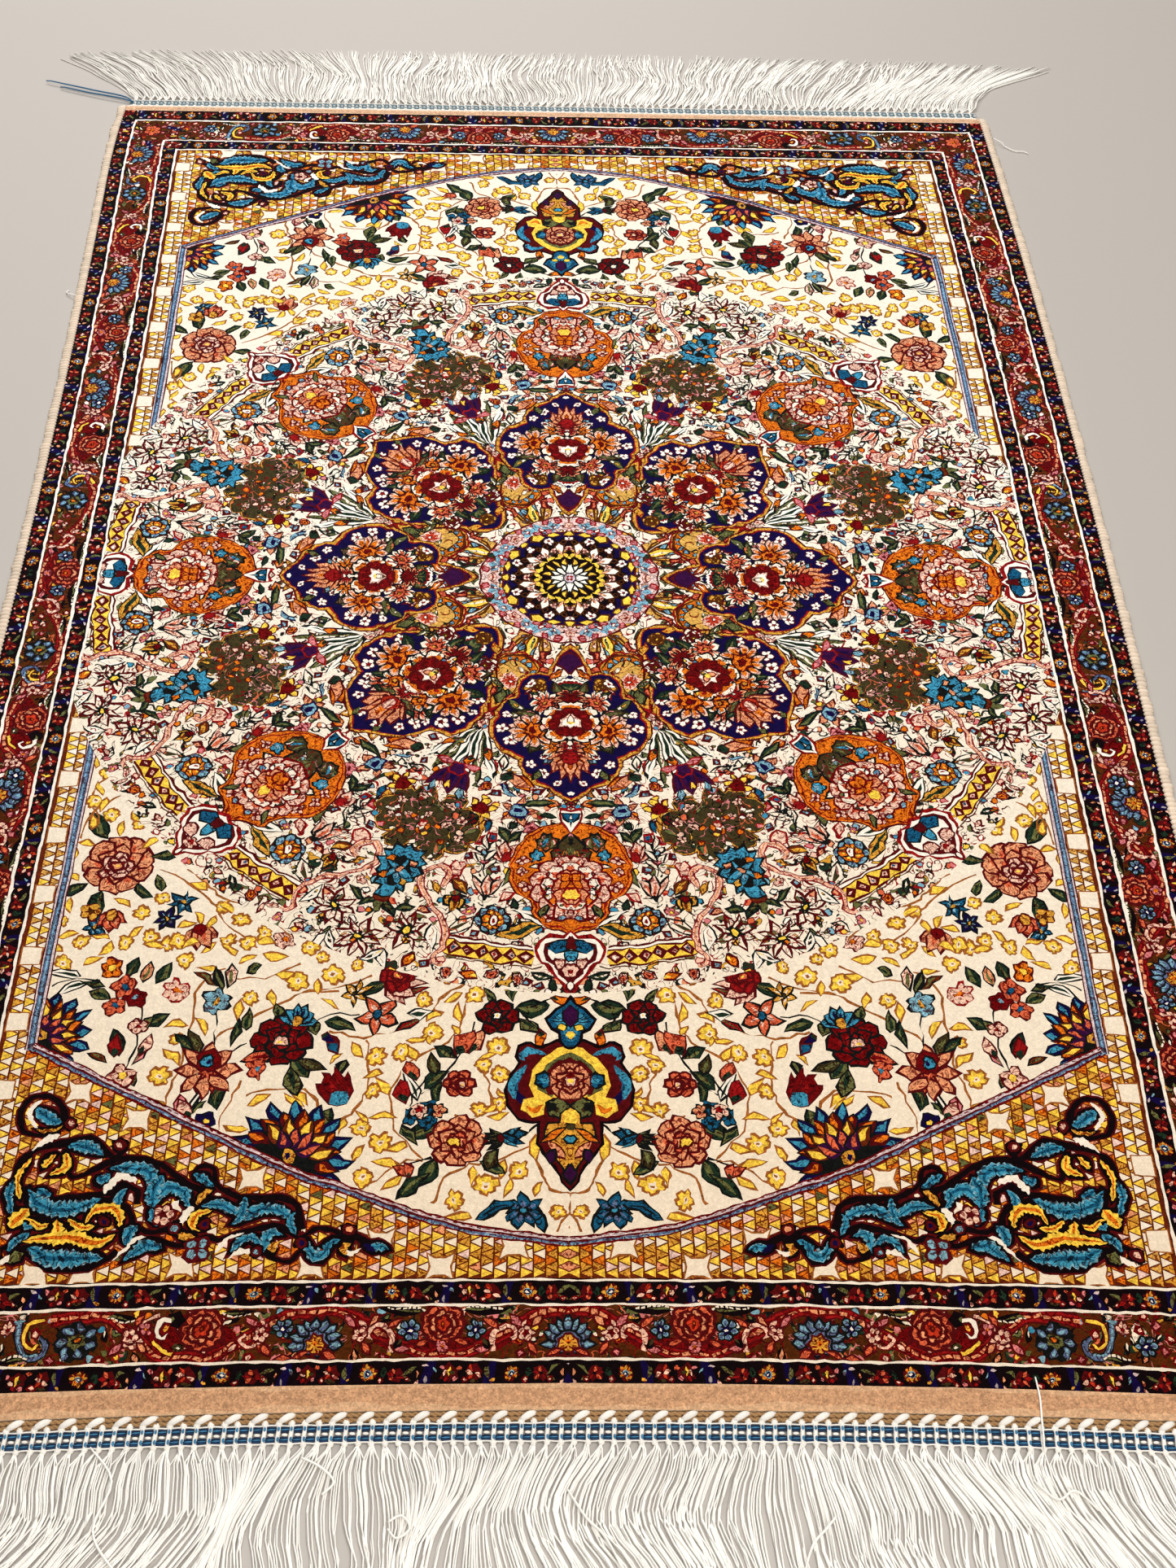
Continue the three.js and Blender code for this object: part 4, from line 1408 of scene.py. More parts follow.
def pendant():
    """The dark, thick-edged pendant below the circle, with a rose in its middle."""
    body = mirrored(plan((0, 487), (10, 489), (20, 495), (29, 491), (37, 494), (39, 502), (36, 508),
                         (43, 517), (46.5, 530), (44, 543), (36, 554), (26, 557), (22, 556), (22.5, 574),
                         (17, 581), (10, 592), (5, 600), (5, 604), (0, 609)))
    made = inked("maroon", body, 1.2, "black")
    made += both_sides([("turquoise", crescent(plan((18, 500), (27, 496), (36, 501), (33, 506)), 6)),
                        ("turquoise", crescent(plan((31, 510), (39, 519), (42, 530), (37, 539)), 8)),
                        ("blue", crescent(plan((35, 520), (39, 527), (36, 536)), 3)),
                        ("navy", crescent(plan((27, 544), (34, 541), (38, 530)), 5))])
    made += [("yellow",
              mirrored(plan((0, 492), (9, 495), (20, 503), (28, 514), (30, 527), (26, 537), (34, 540),
                            (35, 547), (27, 553), (20, 550), (17, 541), (13, 536), (0, 540))))]
    made += [("moss",
              mirrored(plan((0, 499), (9, 503), (18, 510), (23, 520), (24, 530), (14, 536), (0, 520))))]
    made += [("maroon", mirrored(plan((0, 503), (9, 506), (17, 514), (20, 524), (16, 534), (0, 536))))]
    made += both_sides([("orange", crescent(plan((19, 543), (26, 547), (31, 545)), 5))])
    made += both_sides(moved(inked("blue", scalloped(6, 6, 0.2, 2), 0.8, "ink")
                             + [("turquoise", disc(3, 6))], 19.5 + 522j))
    made += both_sides(inked("moss", [complex(9, 545) + p for p in scalloped(8, 5, 0.2)], 0.8, "ink"))
    made += both_sides([("ink", [complex(13, 544) + p for p in scalloped(5, 4, 0.3)])])
    made += inked("gold",
                  mirrored(plan((0, 546), (6, 550), (8, 558), (17, 558), (18.5, 571), (12, 580), (6, 592),
                                (2, 599), (0, 601))), 0.8, "ink")
    made += [("yellow", [552j + p for p in scalloped(6, 5, 0.2)]),
             ("olive", [560j + p for p in disc(4, 6)])]
    made += in_pairs(
        90,
        (pointed("orange", 20, 6, edge=0.7, ink="ink"), 4 + 562j, 35),
        (pointed("peach", 17, 6, edge=0.7), 15 + 573j, 130),
    )
    made += moved(inked("turquoise", disc(2.8, 6), 0.9, "ink"), 571j)
    made += moved(pointed("violet", 11, 7, edge=1, ink="ink"), 593j, 90)
    made += moved(rose(15.5, "peach", "salmon", "blush", 9), 523j)
    made += moved([("crimson", disc(2.5, 6))], 519j)
    top = mirrored(plan((0, 451), (3, 457), (9, 461), (17.5, 470), (14, 477), (8, 481), (7, 488),
                        (3, 493), (0, 494)))
    made += inked("blue", top, 1.3, "black") + [("turquoise", [473j + (p - 473j) * 0.72 for p in top])]
    made += inked("violet", mirrored(plan((0, 459), (5, 464), (5, 471), (0, 476))), 0.6, "ink")
    made += both_sides(moved(pointed("yellow", 9, 5, edge=0.6, ink="ink"), 2 + 476j, 10))
    made += [("yellow", [483j + p for p in disc(3.4, 5)])]
    made += both_sides(moved(pointed("violet", 9, 5, ink="ink"), 11 + 580j, 70))
    return made


def fan_palmette(radius):
    """A dark palmette opening along x: blue-tipped leaves behind two rings of orange and yellow flames."""
    made = [("ink", scalloped(radius * 0.74, 13, 0.18))]
    for turns, root, length, width, colour, eye in (
            (range(-96, 97, 24), 0.58, 0.44, 0.24, "navy", "turquoise"),
            (range(-84, 85, 24), 0.42, 0.42, 0.22, "maroon", "orange"),
            (range(-60, 61, 30), 0.26, 0.46, 0.24, "rust", "yellow"),
            (range(-45, 46, 30), 0.1, 0.42, 0.22, "violet", "salmon")):
        petal = pointed(colour, radius * length, radius * width, 0.1, 0.9, 0.5, "ink")
        petal += moved([(eye, blade(radius * length * 0.7, radius * width * 0.5, 0.1, 0.7, 3))],
                       radius * length * 0.24)
        for turn in turns:
            made += moved(petal, radius * root * cmath.rect(1, math.radians(turn)), turn)
    return made + inked("gold", disc(radius * 0.13, 6), 0.6, "ink") + [("navy", disc(radius * 0.06, 4))]


def open_flower(radius, petals, colour, inner, heart, ink="ink"):
    """A flower of separate pointed petals."""
    petal = pointed(colour, radius, radius * 2.6 / petals, belly=0.8, ink=ink)
    petal += [(inner, blade(radius * 0.66, radius * 1.1 / petals))]
    return round_the(petal, petals) + inked(heart, disc(radius * 0.2, 6), 0.7, ink)


def field_flowers():
    made = []
    # Gold vines, leaves and flowers.
    made += vine((20, 432), (35, 424), (60, 427), (80, 437), (97, 452), (102, 463))
    made += vine((76, 450), (80, 470), (90, 490), (106, 499), (118, 510), (128, 526), (130, 545),
                 (122, 568), (102, 586))
    made += vine((100, 460), (118, 475), (140, 483), (158, 485), (178, 480))
    made += vine((152, 487), (148, 510), (150, 535), (158, 550), (172, 558))
    made += vine((26, 575), (45, 585), (70, 592), (86, 602), (96, 622))
    made += vine((66, 511), (59, 525), (60, 548), (74, 556), (84, 550))
    made += vine((0, 613), (12, 611), (20, 600), (23, 580), (23, 560))
    made += vine((0, 614), (-1, 625), (5, 635), (8, 642)) + vine((5, 622), (10, 632))
    made += vine((175, 445), (200, 446), (225, 460), (250, 475), (262, 486))
    made += vine((262, 424), (280, 440), (281, 470), (284, 505), (292, 535), (293, 550))
    made += vine((180, 550), (186, 535), (205, 528), (235, 533))
    made += vine((240, 522), (248, 545), (252, 565))
    made += vine((130, 586), (122, 592), (150, 612)) + vine((103, 588), (120, 590), (132, 600))
    made += vine((205, 420), (230, 432), (255, 434)) + vine((150, 430), (175, 441), (200, 445))
    for x, y, r in (
            (27, 438, 6), (55, 435, 7), (93, 430, 8.5), (76, 432, 6), (73, 447, 7), (103, 482, 8),
            (53, 494, 8), (52, 517, 6), (52, 542, 6), (66, 547, 6), (124, 498, 7.5), (142, 502, 8),
            (143, 531, 6), (149, 562, 7.5), (135, 573, 8), (145, 601, 7), (36, 596, 7.5), (58, 608, 9),
            (81, 620, 7.5), (180, 430, 8.5), (206, 436, 8), (240, 451, 6.5), (290, 487, 5), (298, 518, 8),
            (8, 628, 5), (-6, 640, 5), (310, 402, 7), (385, 418, 6), (64, 510, 5)):
        made += moved(gold_flower(r), complex(x, y), x * 7 % 60)
    for x, y, turn, length in (
            (92, 453, 200, 10), (84, 455, 80, 16), (87, 474, 95, 10), (118, 488, 170, 10),
            (96, 463, 20, 12), (113, 505, -80, 12), (106, 485, 80, 7), (131, 534, -70, 17),
            (144, 557, -60, 12), (138, 516, -10, 12), (128, 553, -20, 13), (116, 577, -10, 13),
            (122, 594, -40, 17), (163, 555, 70, 10), (147, 576, 40, 13), (131, 610, 200, 14),
            (25, 570, 80, 15), (46, 588, 60, 14), (68, 594, 70, 13), (70, 633, -20, 14),
            (190, 436, 80, 10), (226, 445, 90, 12), (249, 455, 80, 13), (222, 430, 165, 12),
            (286, 473, -10, 12), (287, 507, -60, 14), (293, 548, -60, 15), (206, 535, 130, 15),
            (232, 541, 190, 14), (247, 560, 150, 14), (190, 541, -60, 14), (57, 500, 10, 9),
            (58, 553, 180, 12), (270, 425, -30, 10), (62, 548, -170, 8), (20, 608, 40, 8),
            (52, 530, 100, 7), (14, 432, 60, 7), (170, 500, 30, 8), (272, 402, 15, 10)):
        made += moved(gold_leaf(length), complex(x, y), turn)
    # Leaves and stems in dark green and black.
    for x, y, turn, length, width, colour in (
            (42, 460, 175, 26, 17, "green"), (44, 452, -95, 22, 8, "moss"), (56, 455, -60, 14, 6, "moss"),
            (38, 470, 130, 16, 9, "moss"), (90, 515, 30, 20, 9, "green"), (93, 524, 60, 18, 8, "green"),
            (85, 503, -40, 16, 9, "green"), (98, 516, -80, 16, 9, "olive"),
            (110, 538, -70, 22, 6, "ivory"), (94, 562, 10, 24, 13, "green"),
            (120, 560, 120, 18, 8, "moss"), (95, 588, 60, 22, 13, "green"),
            (100, 600, 30, 26, 12, "green"), (62, 588, 140, 18, 7, "moss"), (52, 580, 60, 16, 8, "olive"),
            (140, 438, 20, 20, 10, "green"), (120, 465, 180, 18, 9, "ivory"),
            (160, 478, -25, 22, 10, "green"), (130, 447, -175, 22, 5, "red"),
            (112, 470, 20, 18, 5, "red"), (172, 546, 60, 16, 11, "green"), (165, 505, 60, 14, 6, "ink"),
            (192, 520, -60, 20, 10, "moss"), (205, 512, 100, 22, 11, "moss"),
            (200, 505, 150, 20, 9, "olive"), (193, 468, 100, 14, 9, "moss"),
            (216, 468, -80, 12, 9, "moss"), (240, 478, -100, 18, 7, "moss"),
            (250, 490, -110, 20, 7, "green"), (272, 498, -70, 20, 8, "olive"),
            (278, 495, -50, 18, 7, "green"), (258, 440, -100, 20, 7, "blush"),
            (268, 440, -50, 20, 6, "rust"), (262, 446, -80, 24, 5, "ink"), (252, 524, 70, 22, 7, "green"),
            (265, 530, 60, 26, 7, "ivory"), (262, 538, 45, 26, 6, "green"),
            (304, 420, 60, 18, 8, "green"), (300, 465, 30, 16, 9, "green"),
            (322, 480, -140, 16, 7, "moss"), (330, 500, -80, 22, 9, "green"),
            (318, 505, -120, 18, 6, "pink"), (340, 505, -40, 14, 6, "rust"),
            (345, 450, -30, 16, 7, "moss"), (335, 432, -120, 18, 9, "green"),
            (322, 436, -110, 18, 8, "peach"), (322, 512, 100, 14, 6, "moss"),
            (370, 430, -15, 24, 8, "ivory"), (365, 437, 10, 20, 7, "ivory"),
            (350, 440, -20, 18, 5, "green")):
        made += moved(leaf(length, width, 0.15, colour, "green" if colour in ("ivory", "moss")
                           else "moss"), complex(x, y), turn)
    for route in (
            ((72, 472), (82, 500), (94, 520), (108, 535)), ((32, 460), (12, 452)), ((36, 466), (24, 482)),
            ((104, 522), (112, 530), (116, 545)), ((262, 462), (264, 490), (264, 505)),
            ((324, 475), (320, 490), (326, 515), (328, 535)), ((320, 455), (318, 470)),
            ((238, 490), (252, 500), (258, 505)), ((160, 465), (180, 465), (195, 475)),
            ((265, 525), (272, 550), (278, 560)), ((355, 436), (372, 432), (390, 440)),
            ((23, 560), (30, 566), (38, 568)), ((98, 585), (115, 592), (118, 600))):
        made += [("ink", stroke(plan(*route), 1.6, 1.2, 3))]
    # Buds and small flowers.
    for x, y, turn, length, colour in (
            (13, 452, 180, 12, "orange"), (24, 480, 110, 13, "orange"), (74, 498, -115, 22, "peach"),
            (84, 500, -120, 24, "salmon"), (113, 522, -70, 16, "salmon"), (119, 540, -75, 18, "red"),
            (113, 600, -30, 14, "salmon"), (112, 600, -60, 10, "salmon"), (279, 553, -80, 20, "pink"),
            (273, 553, -60, 18, "blush"), (333, 500, -85, 17, "red"), (316, 500, -110, 16, "blush"),
            (177, 484, 110, 15, "blue"), (184, 483, 150, 14, "navy")):
        made += moved(bud(length, colour), complex(x, y), turn)
    made += moved(rose(14.5, "crimson", "red", "ivory", 6, "ink"), 55 + 467j)
    made += moved(rose(10.5, "salmon", "red", "blush", 6), 80 + 525j)
    made += moved(rose(19.5, "peach", "salmon", "peach", 8), 80 + 573j)
    made += moved(inked("yellow", scalloped(4, 4, 0.25), 0.7, "maroon"), 83 + 574j)
    for x, y, c in ((102, 545, "blue"), (115, 553, "blue"), (103, 558, "blue"), (109, 548, "blush"),
                    (94, 548, "peach")):
        made += moved(daisy(6.5, 5, c, "ink" if c == "blue" else "red", "ink"), complex(x, y))
    made += moved(both_sides(pointed("blue", 18, 8, 0.2, ink="ink")
                             + pointed("turquoise", 14, 6, 0.5, edge=0.7, ink="ink"), 0), 52 + 570j, 180)
    made += moved(lotus(14, 90, 5, ("ink", "moss", "maroon"), "ink", 0.2), 48 + 571j)
    made += inked("blue", crescent(plan((18, 641), (22, 630), (32, 624), (42, 628)), 9), 0.8, "ink")
    petal = pointed("blue", 9.5, 6.4, 0.2, 0.9, 0.6, "ink") + [("slate", blade(6.4, 2.6, 0.2, 1, 3))]
    made += [("ink", disc_at(31, 628, 10, 8))] + moved(round_the(moved(petal, 3.6), 7), 31 + 628j, 10)
    made += [("ink", disc_at(31, 628, 3.6)), ("turquoise", disc_at(31, 628, 2.3))]
    made += inked("blue", crescent(plan((40, 622), (50, 624), (64, 634)), 6), 0.9, "ink")
    made += [("ink", crescent(plan((42, 623), (50, 625), (60, 631)), 1.6, 2))]
    made += moved(lotus(30, 120, 6, ("blush", "salmon", "crimson"), "maroon", 0.36), 140 + 434j, 185)
    made += moved(rose(13, "red", "crimson", "salmon", 6), 131 + 431j)
    made += moved(open_flower(11, 6, "gold", "cream", "olive", "ink"), 161 + 446j, 20)
    made += moved(open_flower(17, 5, "salmon", "blush", "blue"), 144 + 466j, 10)
    made += moved(rose(21, "crimson", "red", "blush", 8, "ink"), 213 + 488j)
    made += moved(
        pointed("salmon", 20, 9, edge=0.9, ink="ink") + [("crimson", blade(14, 4))], 220 + 500j, 15)
    made += moved(daisy(8, 5, "salmon", "turquoise", "maroon"), 230 + 513j)
    made += moved(lotus(17, 150, 6, ("turquoise", "navy", "gold"), "ink", 0.36), 203 + 473j, -100)
    made += moved(lotus(30, 60, 4, ("crimson", "red", "turquoise"), "maroon", 0.36), 166 + 541j, -68)
    made += moved(both_sides(pointed("salmon", 26, 10, 0.25, edge=0.9), 0), 264 + 505j, 90)
    made += moved(round_the(moved(pointed("peach", 17, 9, edge=0.9), 6), 8), 265 + 513j)
    made += moved(
        inked("crimson", scalloped(8.5, 5, 0.2), 0.9, "maroon")
        + moved(inked("turquoise", disc(4.4, 7), 0.7, "ink"), 1) + [("navy", disc(2, 5))], 264 + 505j)
    made += moved(daisy(11, 6, "sky", "gold", "ink", 1.1), 265 + 454j)
    made += inked("ivory", [complex(262, 555) + p for p in scalloped(9.5, 7, 0.15)], 0.6, "cream")
    made += moved(daisy(7, 5, "navy", "yellow", "ink"), 262 + 555j)
    made += moved(daisy(9.5, 6, "blush", "orange", "red", 1.2), 296 + 444j)
    for x, y, r, c, e in ((347, 423, 8.5, "orange", "yellow"), (335, 440, 9.5, "salmon", "blue"),
                          (325, 450, 8.5, "crimson", "sky"), (340, 457, 8, "salmon", "blue"),
                          (320, 475, 7, "blush", "red"), (327, 518, 10, "blush", "yellow"),
                          (388, 487, 7, "pink", "red")):
        made += moved(daisy(r, 5, c, e, "maroon", 1), complex(x, y), 30)
    # Between the circle and the sides.
    made += moved(rose(27, "peach", "salmon", "blush", 9), 356 + 325j)
    made += moved(rose(13, "blush", "red", "peach", 5), 358 + 327j, 40)
    for x, y, turn, length, width in (
            (370, 300, -65, 30, 13), (330, 318, 190, 24, 10), (366, 352, 80, 26, 12),
            (340, 345, 130, 18, 8), (380, 345, 30, 16, 8)):
        made += moved(leaf(length, width, 0.1, "green", "moss"), complex(x, y), turn)
    for x, y, r, c in ((302, 362, 11, "blue"), (312, 378, 10, "navy"), (366, 385, 10, "blue")):
        made += moved(open_flower(r, 6, c, "sky", "gold"), complex(x, y), 15)
    made += moved(lotus(22, 80, 4, ("peach", "salmon", "crimson"), "maroon"), 285 + 385j, 100)
    made += moved(lotus(18, 90, 4, ("salmon", "peach", "gold"), "maroon"), 355 + 372j, 100)
    made += moved(daisy(8, 5, "gold", "brown", "maroon"), 372 + 372j)
    made += moved(daisy(8, 6, "blush", "orange", "maroon"), 220 + 398j)
    made += vine((215, 395), (240, 372), (275, 355), (300, 330))
    made += vine((385, 200), (372, 225), (388, 250), (378, 285))
    made += vine((240, 405), (262, 385), (290, 350), (322, 330))
    made += vine((392, 300), (382, 270), (360, 255), (350, 280))
    for x, y, r in ((236, 392, 6.5), (254, 378, 6.5), (270, 366, 6), (248, 400, 6), (330, 268, 6.5),
                    (352, 262, 6.5), (366, 245, 6.5), (380, 232, 6), (385, 262, 6), (320, 290, 6),
                    (345, 285, 6), (370, 275, 5.5), (300, 398, 6.5), (322, 395, 6.5), (262, 398, 6),
                    (388, 215, 5), (375, 400, 6), (340, 400, 6)):
        made += moved(gold_flower(r), complex(x, y), x * 11 % 70)
    for x, y, turn in (
            (228, 400, -30), (262, 372, -60), (285, 350, -50), (336, 276, -30), (358, 250, -80),
            (376, 258, 60), (386, 242, 100), (330, 300, 20), (310, 300, -70), (352, 272, 100),
            (275, 375, 60), (285, 398, 10), (312, 402, -20), (240, 412, 10), (382, 290, -100),
            (392, 225, -110), (330, 385, 30), (355, 395, -20), (256, 412, -60)):
        made += moved(gold_leaf(12), complex(x, y), turn)
    return made


def arc_band():
    """The narrow striped band that arches across each end of the field."""
    outer = [place + complex(0.6, 1.6) for place in ARC]
    made = [("crimson", stroke(ARC, 8.2, fine=3)), ("lilac", stroke(ARC, 5.4, fine=3)),
            ("slate", stroke(outer, 1.8, fine=3)), ("maroon", stroke(ARC, 1.4, fine=3))]
    dash = [("crimson", plan((-1.6, -2.6), (1.4, -2.4), (1.8, -1.7), (-1.4, -1.8))),
            ("sky", plan((-1.6, 1.7), (1.4, 1.6), (1.8, 2.6), (-1.4, 2.7)))]
    return made + row(dash, curve(ARC), 6)


def cut_to(outline, start, end):
    """What is left of an outline on the left-hand side of the line from start to end."""
    def side(place):
        return ((end - start).conjugate() * (place - start)).imag
    kept = []
    for one, two in zip(outline, outline[1:] + outline[:1]):
        a, b = side(one), side(two)
        if a >= 0:
            kept.append(one)
        if a * b < 0:
            kept.append(one + (two - one) * a / (a - b))
    return kept


def lattice():
    """The field's corner frame: brown ladders of gold, cream and rust triangles, and cream shields."""
    random.seed(5)
    arch = curve(ARC, fine=1)
    outside = [*arch, 401 + 492j, 401 + 150j, 420 + 150j, 420 + 680j, 680j]
    made = [("rust", outside)]
    column, row_height = 8.7, 9.2
    for i in range(48):
        right = 416.4 - i * column
        for j in range(60):
            for half in (0, 1):
                low = 677.4 - (j + half / 2) * row_height
                flat, tip = (right - column + 0.6, right - 0.5) if half else (
                    right - 0.5, right - column + 0.6)
                outline = plan(
                    (flat, low), (flat, low - row_height + 2.2), (tip, low - row_height / 2 + 1.1))
                middle = complex(right - column / 2, low - row_height / 2)
                near = min(arch, key=lambda place: abs(place - middle))
                if middle.real < 400 and middle.imag < near.imag - 9:
                    continue
                if middle.real > 400 and middle.imag < 150:
                    continue
                if middle.real < 397:
                    at = max(1, min(arch.index(near), len(arch) - 2))
                    outline = cut_to(outline, arch[at - 1] + 3.5j, arch[at + 1] + 3.5j)
                if len(outline) < 3:
                    continue
                band = (j * 2 + half + i * 4) % 14
                tint = ("cream", "lace", "cream", "gold", "peach") if half else (
                    "yellow", "gold", "yellow", "yellow", "orange")
                if band == 4 and middle.real < 400:
                    tint = ("peach", "blush", "orange") if half else ("orange", "gold", "orange")
                if band == 9 and i % 3 < 2 and middle.real < 400:
                    tint = ("moss", "gold", "moss")
                if middle.real > 400:
                    tint = ("cream", "cream", "ivory") if half else ("yellow", "amber", "gold")
                made.append((random.choice(tint), outline))
    shield = inked("cream",
                   plan((-9, -9), (-4, -6), (4, -6), (9, -9), (6, 0), (9, 9), (4, 6), (-4, 6), (-9, 9),
                        (-7, 0)), 0.8, "vine")
    for y in range(180, 660, 58):
        made += inked(
            "cream", plan((402.5, y - 7), (417, y - 8), (417, y + 8), (402.5, y + 7)), 0.6, "vine")
    for x, y in ((38, 654), (130, 650), (223, 601), (355, 530), (310, 553), (88, 669), (176, 668),
                 (264, 666), (330, 671), (362, 671)):
        made += moved(shield, complex(x, y))
    return made


def toothed(points, width, tooth=4.4, depth=0.32):
    """A curved lens whose two edges are cut into teeth, like an acanthus leaf."""
    route = curve(points, fine=5)
    length = sum(abs(b - a) for a, b in zip(route, route[1:]))
    count = max(3, round(length / tooth))
    spots = along(route, length / (2 * count))
    left, right = [], []
    for i, (place, heading) in enumerate(spots):
        half = width / 2 * math.sin(math.pi * (i + 0.5) / len(spots)) ** 0.6 * (1 if i % 2 else 1 - depth)
        side = cmath.rect(half, math.radians(heading + 90))
        left.append(place + side)
        right.append(place - side)
    return [route[0], *right, route[-1], *reversed(left)]


def curled_leaf(colour, width, *places):
    """A leaf of the scrollwork: a toothed lens with a darker vein, pale-tipped where it is blue."""
    width *= 1.04
    made = [("sky" if colour == "turquoise" else colour, toothed(plan(*places), width))]
    if colour == "turquoise":
        made += [("turquoise", toothed(plan(*places), width * 0.86, 5.4, 0.42))]
        made += [("blue", crescent(plan(*places), width * 0.2, 2))]
    if colour == "yellow":
        made += [("orange", crescent(plan(*places), width * 0.3, 2))]
    return made


def arabesque():
    """The corner scrollwork of the lattice: blue and gold leaves, thickly edged in near-black maroon."""
    cords = (
        ((360, 560), (364, 546), (372, 535), (382, 532), (391, 538), (394, 550), (388, 562), (374, 566),
         (362, 563)),
        ((352, 570), (366, 573), (380, 578), (388, 590), (390, 606), (386, 622), (376, 634)),
        ((316, 576), (322, 584), (338, 570), (352, 569), (362, 572)),
        ((255, 612), (266, 606), (276, 598), (292, 588), (306, 585), (322, 586), (336, 594), (348, 598),
         (352, 590)),
        ((300, 620), (302, 610), (312, 604), (322, 610), (330, 612), (350, 614), (366, 616), (378, 604)),
        ((304, 650), (302, 634), (308, 622), (322, 615), (336, 618), (352, 628), (372, 628), (386, 618),
         (394, 606)), ((310, 655), (326, 667), (346, 668), (366, 658), (382, 648), (392, 656)),
        ((184, 640), (190, 622), (202, 616), (218, 616), (236, 614), (246, 606), (250, 594), (262, 592),
         (266, 600)), ((240, 625), (252, 616), (262, 622), (272, 636), (292, 640), (304, 632)),
        ((190, 642), (205, 638), (224, 642), (240, 648), (250, 646), (270, 652), (286, 644), (298, 650),
         (304, 660)),
        ((128, 656), (140, 650), (150, 646), (160, 652), (170, 662), (182, 656), (190, 664), (204, 660),
         (214, 652)), ((150, 660), (158, 644), (172, 640), (184, 646)))
    leaves = (("turquoise", 9, ((364, 555), (373, 551), (382, 543))),
              ("ivory", 5, ((380, 536), (387, 546), (380, 559))),
              ("gold", 4, ((362, 558), (370, 562), (380, 560))),
              ("ivory", 6, ((362, 566), (371, 569), (380, 576))),
              ("yellow", 5, ((379, 582), (386, 597), (382, 614))),
              ("turquoise", 7, ((390, 598), (390, 612), (386, 624))),
              ("turquoise", 10, ((330, 582), (342, 575), (356, 573))),
              ("yellow", 7, ((357, 578), (354, 590), (364, 596))),
              ("yellow", 6, ((362, 580), (367, 583), (371, 590))),
              ("turquoise", 9, ((372, 606), (366, 612), (361, 611))),
              ("turquoise", 11, ((291, 612), (295, 596), (306, 592), (324, 592))),
              ("turquoise", 9, ((322, 597), (328, 601), (332, 598))),
              ("ivory", 6, ((304, 602), (316, 599), (325, 611))),
              ("turquoise", 7, ((309, 608), (315, 613), (314, 622))),
              ("turquoise", 13, ((327, 615), (342, 622), (358, 622), (371, 616), (378, 607))),
              ("yellow", 8, ((309, 638), (313, 626), (323, 621), (331, 626), (333, 634))),
              ("yellow", 7, ((328, 637), (338, 637), (346, 630))),
              ("yellow", 9, ((352, 631), (352, 640), (349, 648))),
              ("yellow", 6, ((358, 633), (366, 635), (374, 628))),
              ("yellow", 12, ((374, 621), (379, 627), (384, 636))),
              ("yellow", 10, ((312, 643), (324, 650), (336, 645), (354, 644), (374, 646))),
              ("turquoise", 9, ((298, 636), (303, 642), (305, 650))),
              ("turquoise", 15, ((318, 659), (334, 660), (352, 659), (371, 651))),
              ("turquoise", 7, ((372, 640), (378, 645), (383, 653))),
              ("turquoise", 5, ((370, 634), (373, 636), (376, 633))),
              ("moss", 8, ((372, 660), (377, 657), (382, 660))),
              ("ivory", 5, ((382, 656), (386, 661), (390, 664))),
              ("turquoise", 9, ((278, 654), (290, 650), (303, 661))),
              ("ivory", 4, ((292, 644), (302, 650), (312, 662))),
              ("turquoise", 11, ((190, 633), (202, 626), (214, 625), (226, 631), (234, 636))),
              ("turquoise", 9, ((230, 636), (227, 626), (226, 616))),
              ("turquoise", 8, ((228, 632), (240, 622), (256, 622))),
              ("turquoise", 8, ((249, 608), (256, 602), (265, 597))),
              ("turquoise", 10, ((264, 624), (270, 611), (282, 608), (290, 622))),
              ("turquoise", 12, ((288, 622), (290, 608), (286, 598))),
              ("ivory", 6, ((261, 622), (265, 628), (268, 636))),
              ("ivory", 6, ((271, 618), (276, 624), (276, 632))),
              ("gold", 5, ((250, 610), (256, 614), (258, 621))),
              ("yellow", 6, ((248, 626), (258, 628), (260, 636), (254, 641))),
              ("turquoise", 6, ((290, 622), (288, 630), (284, 635))),
              ("gold", 6, ((258, 645), (265, 644), (270, 640))),
              ("turquoise", 8, ((196, 645), (206, 643), (208, 657))),
              ("gold", 5, ((199, 650), (203, 653), (201, 658))),
              ("turquoise", 7, ((210, 653), (220, 646), (232, 657))),
              ("ivory", 5, ((216, 656), (224, 656), (232, 662))),
              ("ivory", 4, ((224, 643), (234, 648), (242, 658))),
              ("turquoise", 9, ((157, 648), (164, 652), (170, 661), (178, 656), (182, 646))),
              ("ivory", 4, ((143, 656), (150, 660), (157, 656))),
              ("turquoise", 7, ((124, 657), (131, 654), (138, 656))),
              ("navy", 6, ((132, 657), (137, 656), (142, 652))),
              ("gold", 5, ((150, 650), (155, 654), (153, 661))),
              ("turquoise", 6, ((188, 644), (192, 636), (190, 628))))
    made = [("maroon", stroke(plan(*places), 7.6, 5.6, 3)) for places in cords]
    made += [("maroon", grown(crescent(plan(*places), width, 3), 3.4)) for colour, width, places in leaves
             if colour != "ivory"]
    made += [("black", stroke(plan(*places), 4.8, 3.2, 3)) for places in cords]
    made += [("black", grown(crescent(plan(*places), width, 3), 2.0)) for colour, width, places in leaves
             if colour != "ivory"]
    for leaf_of in leaves:
        made += curled_leaf(leaf_of[0], leaf_of[1], *leaf_of[2])
    for x, y, eye in ((357, 556, "blush"), (320, 574, "blush"), (272, 638, "sky"), (184, 650, "navy"),
                      (392, 656, "blush"), (252, 636, "navy"), (322, 633, "navy"), (213, 657, "sky"),
                      (152, 641, "peach")):
